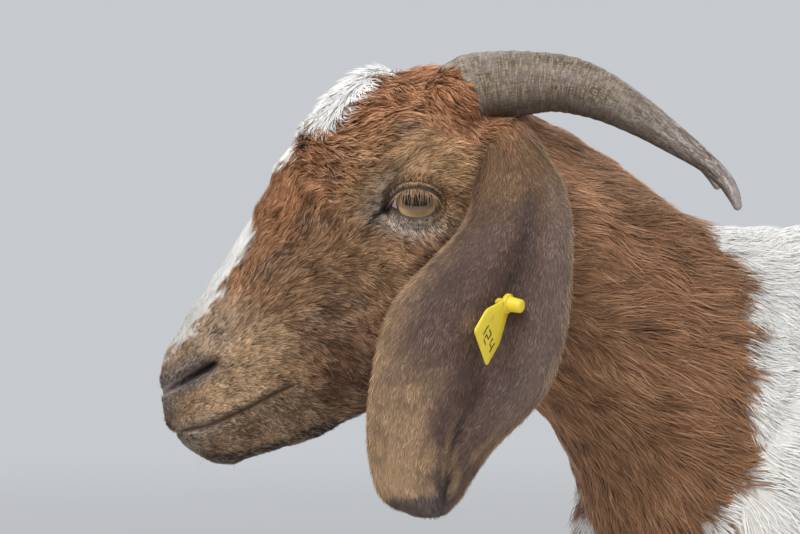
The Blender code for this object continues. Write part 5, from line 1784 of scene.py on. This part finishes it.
def makeHorn(side, material):
    name = "horn_skin_left" if side > 0 else "horn_skin_right"
    share = np.linspace(0, 1, hornForm["steps"])
    rows = smoothTable(hornTable, share)
    path, radius = rows[:, :3], rows[:, 3]
    ahead = unit(np.gradient(path, axis=0))
    aside = unit(np.array((0.0, 1.0, 0.0)) - ahead * ahead[:, 1:2])
    up = np.cross(ahead, aside)
    angle = 2 * math.pi * np.arange(hornForm["sides"]) / hornForm["sides"]
    wave = np.sin(2 * math.pi * hornForm["rings"] * share**0.85)
    worn = smooth(share, 0.85, 0.15)
    uneven = ripple(path, 0.03, 41)
    swell = 1 + 0.014 * worn * wave + 0.012 * uneven * worn
    swell *= np.where(share < 0.985, 1.0, np.sqrt(np.clip((1.002 - share) / 0.017, 0.03, 1)))
    ridge = 1 + 0.010 * np.sin(5 * angle)[None] * worn[:, None] + 0.03 * hill(angle, math.pi / 2,
        0.35)[None] * worn[:, None]
    reach = (radius * swell)[:, None] * ridge
    local = path[:, None] + aside[:, None] * (hornForm["flatness"] * reach * np.cos(angle))[...,
        None]
    local = local + up[:, None] * (reach * np.sin(angle))[..., None]
    local[..., 1] *= side
    if side < 0:
        c, s = math.cos(hornForm["lift"]), math.sin(hornForm["lift"])
        x, z = local[..., 0].copy(), local[..., 2].copy()
        local[..., 0], local[..., 2] = c * x + s * z, c * z - s * x
    points, quads, ends = closedTube(fromFrame(local, levelAxes))
    mesh = newMesh(name, points, quads, ends)
    sides = hornForm["sides"]
    addNumbers(mesh, "run", np.concatenate([np.repeat(share, sides), [0, 1]]))
    length = np.concatenate([[0], np.cumsum(np.linalg.norm(np.diff(path, axis=0), axis=1))])
    around = np.stack((np.tile(np.cos(angle), len(share)), np.tile(np.sin(angle), len(share)),
        np.repeat(length, sides) * 20), -1)
    around[:, :2] *= np.repeat(radius / radius.max(), sides)[:, None]
    addVectors(mesh, "around", np.vstack([around, [0, 0, 0], [0, 0, length[-1] * 20]]))
    # the horn's underside, where painted shade darkens it
    under = smooth(-np.sin(angle) * np.sign(up[len(up) // 2, 2]), 0.15, 0.9)
    addNumbers(mesh, "under", np.concatenate([np.tile(under, len(share)), [0, 0]]))
    horn = newPiece(name, mesh, material)
    placeOnBody(horn, "horn", "horn_left" if side > 0 else "horn_right")


hornLook = hornFinish()
for side in (-1, 1):
    makeHorn(side, hornLook)
print("horns made")


# Hooves: each claw is a stack of half-pointed ovals with growth rings.
hoofForm = {"height": 0.0437, "length": 0.062, "width": 0.0225, "split": 0.003, "toe": 0.003,
    "sides": 44}


def hoofFinish():
    finish = Finish("hoof", Specular_IOR_Level=0.4)
    rings = finish.noise(finish.stretched(finish.object(), (14, 14, 420)), 1.0, 3.0)
    grain = finish.noise(finish.stretched(finish.object(), (500, 500, 40)), 1.0, 3.0)
    patches = finish.noise(finish.object(), 55.0, 3.0)
    colour = finish.mix(finish.band(patches, 0.3, 0.7), rgba((96, 84, 72)), rgba((146, 128, 104)))
    colour = finish.tinted(colour, 0.75 + 0.3 * rings + 0.25 * grain)
    return finish.paint(
        Base_Color=colour, Roughness=0.45 + 0.25 * patches,
        Normal=finish.bump(rings * 0.8 + grain * 0.4, 0.5, 0.0008),
    )


def makeHoof(name, x, y, turn, material):
    levels = np.linspace(0, 1, 34)
    capShares = np.array((0.0, 0.35, 0.62, 0.82, 0.94, 1.0))
    height = levels * hoofForm["height"]
    shrink = smoothTable(((1.00, 1.00, 0.000), (0.97, 0.975, 0.0015), (0.885, 0.945, 0.0043),
        (0.80, 0.92, 0.007)), levels)
    angle = 2 * math.pi * np.arange(hoofForm["sides"]) / hoofForm["sides"]
    toe = np.maximum(0, -np.cos(angle)) ** 2
    wave = 1 + 0.006 * np.sin(levels * 34) * smooth(levels, 0.02, 0.2)
    foreAft = hoofForm["length"] / 2 * shrink[:, :1] * wave[:, None]
    wide = hoofForm["width"] / 2 * shrink[:, 1:2] * wave[:, None] * (1 - 0.30 * toe)
    across = y + wide * np.sin(angle) - 0.0035 * turn * toe
    along = x + shrink[:, 2:3] + foreAft * np.cos(angle)
    body = np.stack((along, across, np.repeat(height[:, None], len(angle), 1)), -1)
    middle = body.mean(1, keepdims=True)
    caps = []
    for level, share in ((0, capShares), (-1, capShares[::-1])):
        grown = (body[level] - middle[level]) * (share * 0.97)[:, None, None]
        caps.append(middle[level] + grown)
    caps[0][..., 2] = 0.0
    body[0, :, 2] = 0.0006
    points, quads, ends = closedTube(np.concatenate([caps[0][1:], body, caps[1][:-1]]))
    points = points + np.array((bodyShift[0], bodyShift[1], 0))
    mesh = newMesh(name + "_horn", points, quads, ends)
    hoof = newPiece(name + "_horn", mesh, material)
    placeOnBody(hoof, "hoof", name)


hoofLook = hoofFinish()
for pair, table in (("front", frontLegTable), ("hind", hindLegTable)):
    for flank, side in (("left", -1), ("right", 1)):
        for claw, turn in (("outer", 1), ("inner", -1)):
            gap = turn * (hoofForm["width"] + hoofForm["split"]) / 2
            name = f"hoof_{pair}_{flank}_{claw}"
            makeHoof(name, table[-1][0] - hoofForm["toe"], side * (table[-1][1] + gap),
                side * turn, hoofLook)
print("hooves made")


# The ear tag: a bevelled plate with a round boss and a stud in front, a button behind the ear.
tagForm = {
    "length": 0.0375, "width": 0.0295, "body": 0.018, "thickness": 0.0018,
    "boss": 0.006, "stud": 0.0050, "studHeight": 0.0112, "pin": 0.0025,
    "button": 0.008, "buttonThickness": 0.0022, "face": 0.0068, "back": 0.0135,
    "placeShare": 0.436, "placeAcross": -0.12,
    "colour": (240, 212, 58), "digit": (34, 32, 30), "bend": 1.6,
}


def tagAxes():
    # where the tag hangs: the ear's middle surface at its place, and the tag's own directions
    table = smoothTable(earTable, np.array([tagForm["placeShare"]]))[0]
    mixed = (tagForm["placeAcross"] + 1) / 2
    ahead, up = table[2:4] + (table[0:2] - table[2:4]) * mixed
    out = table[4] + float(earFold(np.array([tagForm["placeShare"]]),
        np.array([tagForm["placeAcross"]]))[0])
    z = unit(np.array((-0.84, 0.51, -0.16)))
    x = np.array((-0.44, -0.575, 0.689))
    x = unit(x - z * (x @ z))
    return fromFrame(np.array((ahead, out, up)), levelAxes), levelAxes @ np.column_stack((x,
        np.cross(z, x), z))


def roundedOutline(corners, radius, steps=7):
    # a closed outline whose corners are quarter-circle like arcs (quadratic curves)
    corners = np.asarray(corners, float)
    before, after = np.roll(corners, 1, 0), np.roll(corners, -1, 0)
    start = corners + unit(before - corners) * radius
    end = corners + unit(after - corners) * radius
    t = np.linspace(0, 1, steps)[None, :, None]
    curve = (1 - t) ** 2 * start[:, None] + 2 * t * (1 - t) * corners[:, None] + t**2 * end[:, None]
    return curve.reshape(-1, 2)


def turnedPart(profile, sides=48):
    # a profile of (radius, height) turned about z
    angle = 2 * math.pi * np.arange(sides) / sides
    radius, height = np.asarray(profile, float).T
    rings = np.stack((radius[:, None] * np.cos(angle), radius[:, None] * np.sin(angle),
        height[:, None] + 0 * angle), -1)
    return closedTube(rings)


def tagFinish(name, colour):
    finish = Finish(name, Specular_IOR_Level=0.5, Subsurface_Weight=0.05)
    grime = finish.noise(finish.object(), 130.0, 4.0)
    scratches = finish.noise(finish.stretched(finish.object(), (900, 900, 120), (0.4, 0.7, 0)),
        1.0, 2.0)
    tone = finish.tinted(rgba(colour), 0.90 + 0.16 * grime)
    worn = finish.mix(finish.band(grime, 0.58, 0.75) * 0.35, tone, rgba((150, 120, 60)))
    return finish.paint(
        Base_Color=worn, Roughness=0.34 + 0.25 * scratches,
        Normal=finish.bump(scratches, 0.15, 0.0003),
    )


def digitStrokes():
    # plain seven-bar numbers as thin raised bars: each bar's centre and half-size on the plate
    bars = {"a": (0, 2), "b": (1, 1), "c": (1, -1), "d": (0, -2), "e": (-1, -1), "f": (-1, 1),
        "g": (0, 0)}
    numbers = (("c b", -0.0078), ("a b g e d", -0.0008), ("f g b c", 0.0070))
    boxes = []
    for names, place in numbers:
        for bar in names.split():
            across, rise = bars[bar]
            wide, high = (0.00046, 0.0023) if bar in "bcef" else (0.0023, 0.00046)
            boxes.append((place + across * 0.0020, rise * 0.0021, wide, high))
    return boxes


def makeTag():
    place, axes = tagAxes()
    form = tagForm
    length, wide = form["length"], form["width"] / 2
    low = form["face"]
    outline = roundedOutline(
        ((-length, -wide), (-length, wide), (-length + form["body"], wide), (-0.004, form["boss"]),
         (-0.0005, form["boss"] * 0.8), (-0.0005, -form["boss"] * 0.8), (-0.004, -form["boss"]),
         (-length + form["body"], -wide)),
        0.0022)
    middle = outline.mean(0)
    levels = ((0.0, 0.45), (0.0, 0.965), (0.25, 1.0), (0.75, 1.0), (1.0, 0.965),
        (1.0, 0.45))  # height, size

    def bent(x):
        return form["bend"] * np.clip(-x - 0.010, 0, 1) ** 2

    rings = []
    for rise, grow in levels:
        spot = middle + (outline - middle) * grow
        rings.append(np.column_stack((spot, low + form["thickness"] * rise + bent(spot[:, 0]))))
    plate = closedTube(np.array(rings))
    top = low + form["thickness"]
    boss = turnedPart(((form["boss"], low + 0.0001), (form["boss"], top + 0.0003),
        (form["boss"] * 0.93, top + 0.0008), (0.0047, top + 0.0009)))
    stud = turnedPart((
        (form["stud"], low), (form["stud"], low + 0.0016), (form["stud"] * 0.90, low + 0.0040),
        (form["stud"] * 0.80, low + form["studHeight"] * 0.90),
        (form["stud"] * 0.72, low + form["studHeight"] * 0.98),
        (form["stud"] * 0.40, low + form["studHeight"])))
    pin = turnedPart(((form["pin"], -form["back"] + 0.001), (form["pin"], low + 0.001)))
    points, faces = joinedShapes([plate, boss, stud, pin])
    plastic = tagFinish("tag plastic", form["colour"])
    mesh = newMesh("tag_plate_skin", place + points @ axes.T, faces)
    piece = newPiece("tag_plate_skin", mesh, plastic)
    placeOnBody(piece, "tag", "tag_plate")
    back = -form["back"]
    rim = form["button"]
    profile = (
        (rim * 0.2, back), (rim * 0.80, back), (rim * 0.97, back + 0.0004),
        (rim, back + form["buttonThickness"] * 0.5),
        (rim * 0.97, back + form["buttonThickness"] * 0.85),
        (rim * 0.85, back + form["buttonThickness"]), (rim * 0.4, back + form["buttonThickness"]))
    points, faces = joinedShapes([turnedPart(profile)])
    button = newPiece("tag_button_skin", newMesh("tag_button_skin", place + points @ axes.T,
        faces), plastic)
    placeOnBody(button, "tag", "tag_button")
    shapes = []
    for across, rise, halfWide, halfHigh in digitStrokes():
        x, y = -0.0285 + rise, -across
        ring = np.array(((-halfHigh, -halfWide), (halfHigh, -halfWide), (halfHigh, halfWide),
            (-halfHigh, halfWide)))
        floor = top + bent(x) + np.array((-0.0001, 0.00012))[:, None]
        spots = np.stack((ring[None, :, 0] + x + 0 * floor, ring[None, :, 1] + y + 0 * floor,
            floor + 0 * ring[None, :, 0]), -1)
        shapes.append(closedTube(spots))
    points, faces = joinedShapes(shapes)
    digits = newPiece("tag_digits", newMesh("tag_digits", place + points @ axes.T, faces),
        tagFinish("tag ink", form["digit"]))
    placeOnBody(digits, "tag")


makeTag()
print("tag made")


# The stage: a wide pale floor, a soft sky and large soft lamps.
stageForm = {"reach": 40.0, "sky": (0.86, 0.89, 0.93), "skyStrength": 0.66,
    "floor": (216, 215, 213)}
black = (0.0, 0.0, 0.0, 1.0)


def makeStage():
    # the floor's far part glows like the sky, so that no horizon shows
    floorFinish = Finish("floor", Roughness=0.9, Specular_IOR_Level=0.0, Emission_Strength=1.0)
    mottle = floorFinish.noise(floorFinish.object(), 3.0, 3.0)
    x, y = floorFinish.split(floorFinish.object())
    far = floorFinish.band((x * x + y * y) ** 0.5, 1.6, 7.0)
    skyGlow = tuple(stageForm["skyStrength"] * part for part in stageForm["sky"])
    shade = floorFinish.tinted(rgba(stageForm["floor"]), 0.97 + 0.05 * mottle)
    shade = floorFinish.mix(far, shade, black)
    glow = floorFinish.mix(far, black, (*skyGlow, 1.0))
    reach = stageForm["reach"]
    corners = np.array(((-reach, -reach, 0), (reach, -reach, 0), (reach, reach, 0),
        (-reach, reach, 0)))
    look = floorFinish.paint(Base_Color=shade, Emission_Color=glow)
    floor = newPiece("floor", newMesh("floor", corners, np.array(((0, 1, 2, 3),))), look)
    world = bpy.data.worlds.new("sky")
    bpy.context.scene.world = world
    world.use_nodes = True
    background = world.node_tree.nodes["Background"]
    background.inputs["Color"].default_value = (*stageForm["sky"], 1)
    background.inputs["Strength"].default_value = stageForm["skyStrength"]
    lamps = (  # forward, left, up of the poll; size; watts; colour
        ("key lamp", (1.1, 1.5, 2.2), 1.8, 64, (1.0, 0.97, 0.93)),
        ("fill lamp", (-2.2, 2.0, 1.4), 2.5, 22, (0.93, 0.96, 1.0)),
        ("rim lamp", (-0.8, -2.2, 2.0), 2.0, 26, (1.0, 0.98, 0.95)),
    )
    for name, place, size, watts, colour in lamps:
        lamp = bpy.data.lights.new(name, "AREA")
        lamp.size = size
        lamp.energy = watts
        lamp.color = colour
        holder = bpy.data.objects.new(name, lamp)
        spot = Vector(fromFrame(place, levelAxes))
        aim = Vector(poll) + Vector((0.1, 0, -0.15))
        holder.matrix_world = Matrix.Translation(spot) @ (spot - aim).to_track_quat("Z",
            "Y").to_matrix().to_4x4()
        bpy.context.scene.collection.objects.link(holder)


def makeCamera():
    camera = bpy.data.cameras.new("camera")
    camera.lens = 100
    camera.sensor_width = 36
    holder = bpy.data.objects.new("camera", camera)
    spot = fromFrame((0.0432, 1.41, -0.1123), levelAxes)
    turn = np.column_stack((np.cross(upward, towardLeft), upward, towardLeft))
    holder.matrix_world = Matrix.Translation(Vector(spot)) @ Matrix(turn.tolist()).to_4x4()
    bpy.context.scene.collection.objects.link(holder)
    bpy.context.scene.camera = holder


makeStage()
makeCamera()
bpy.context.scene.view_settings.view_transform = "Standard"
print("stage made")
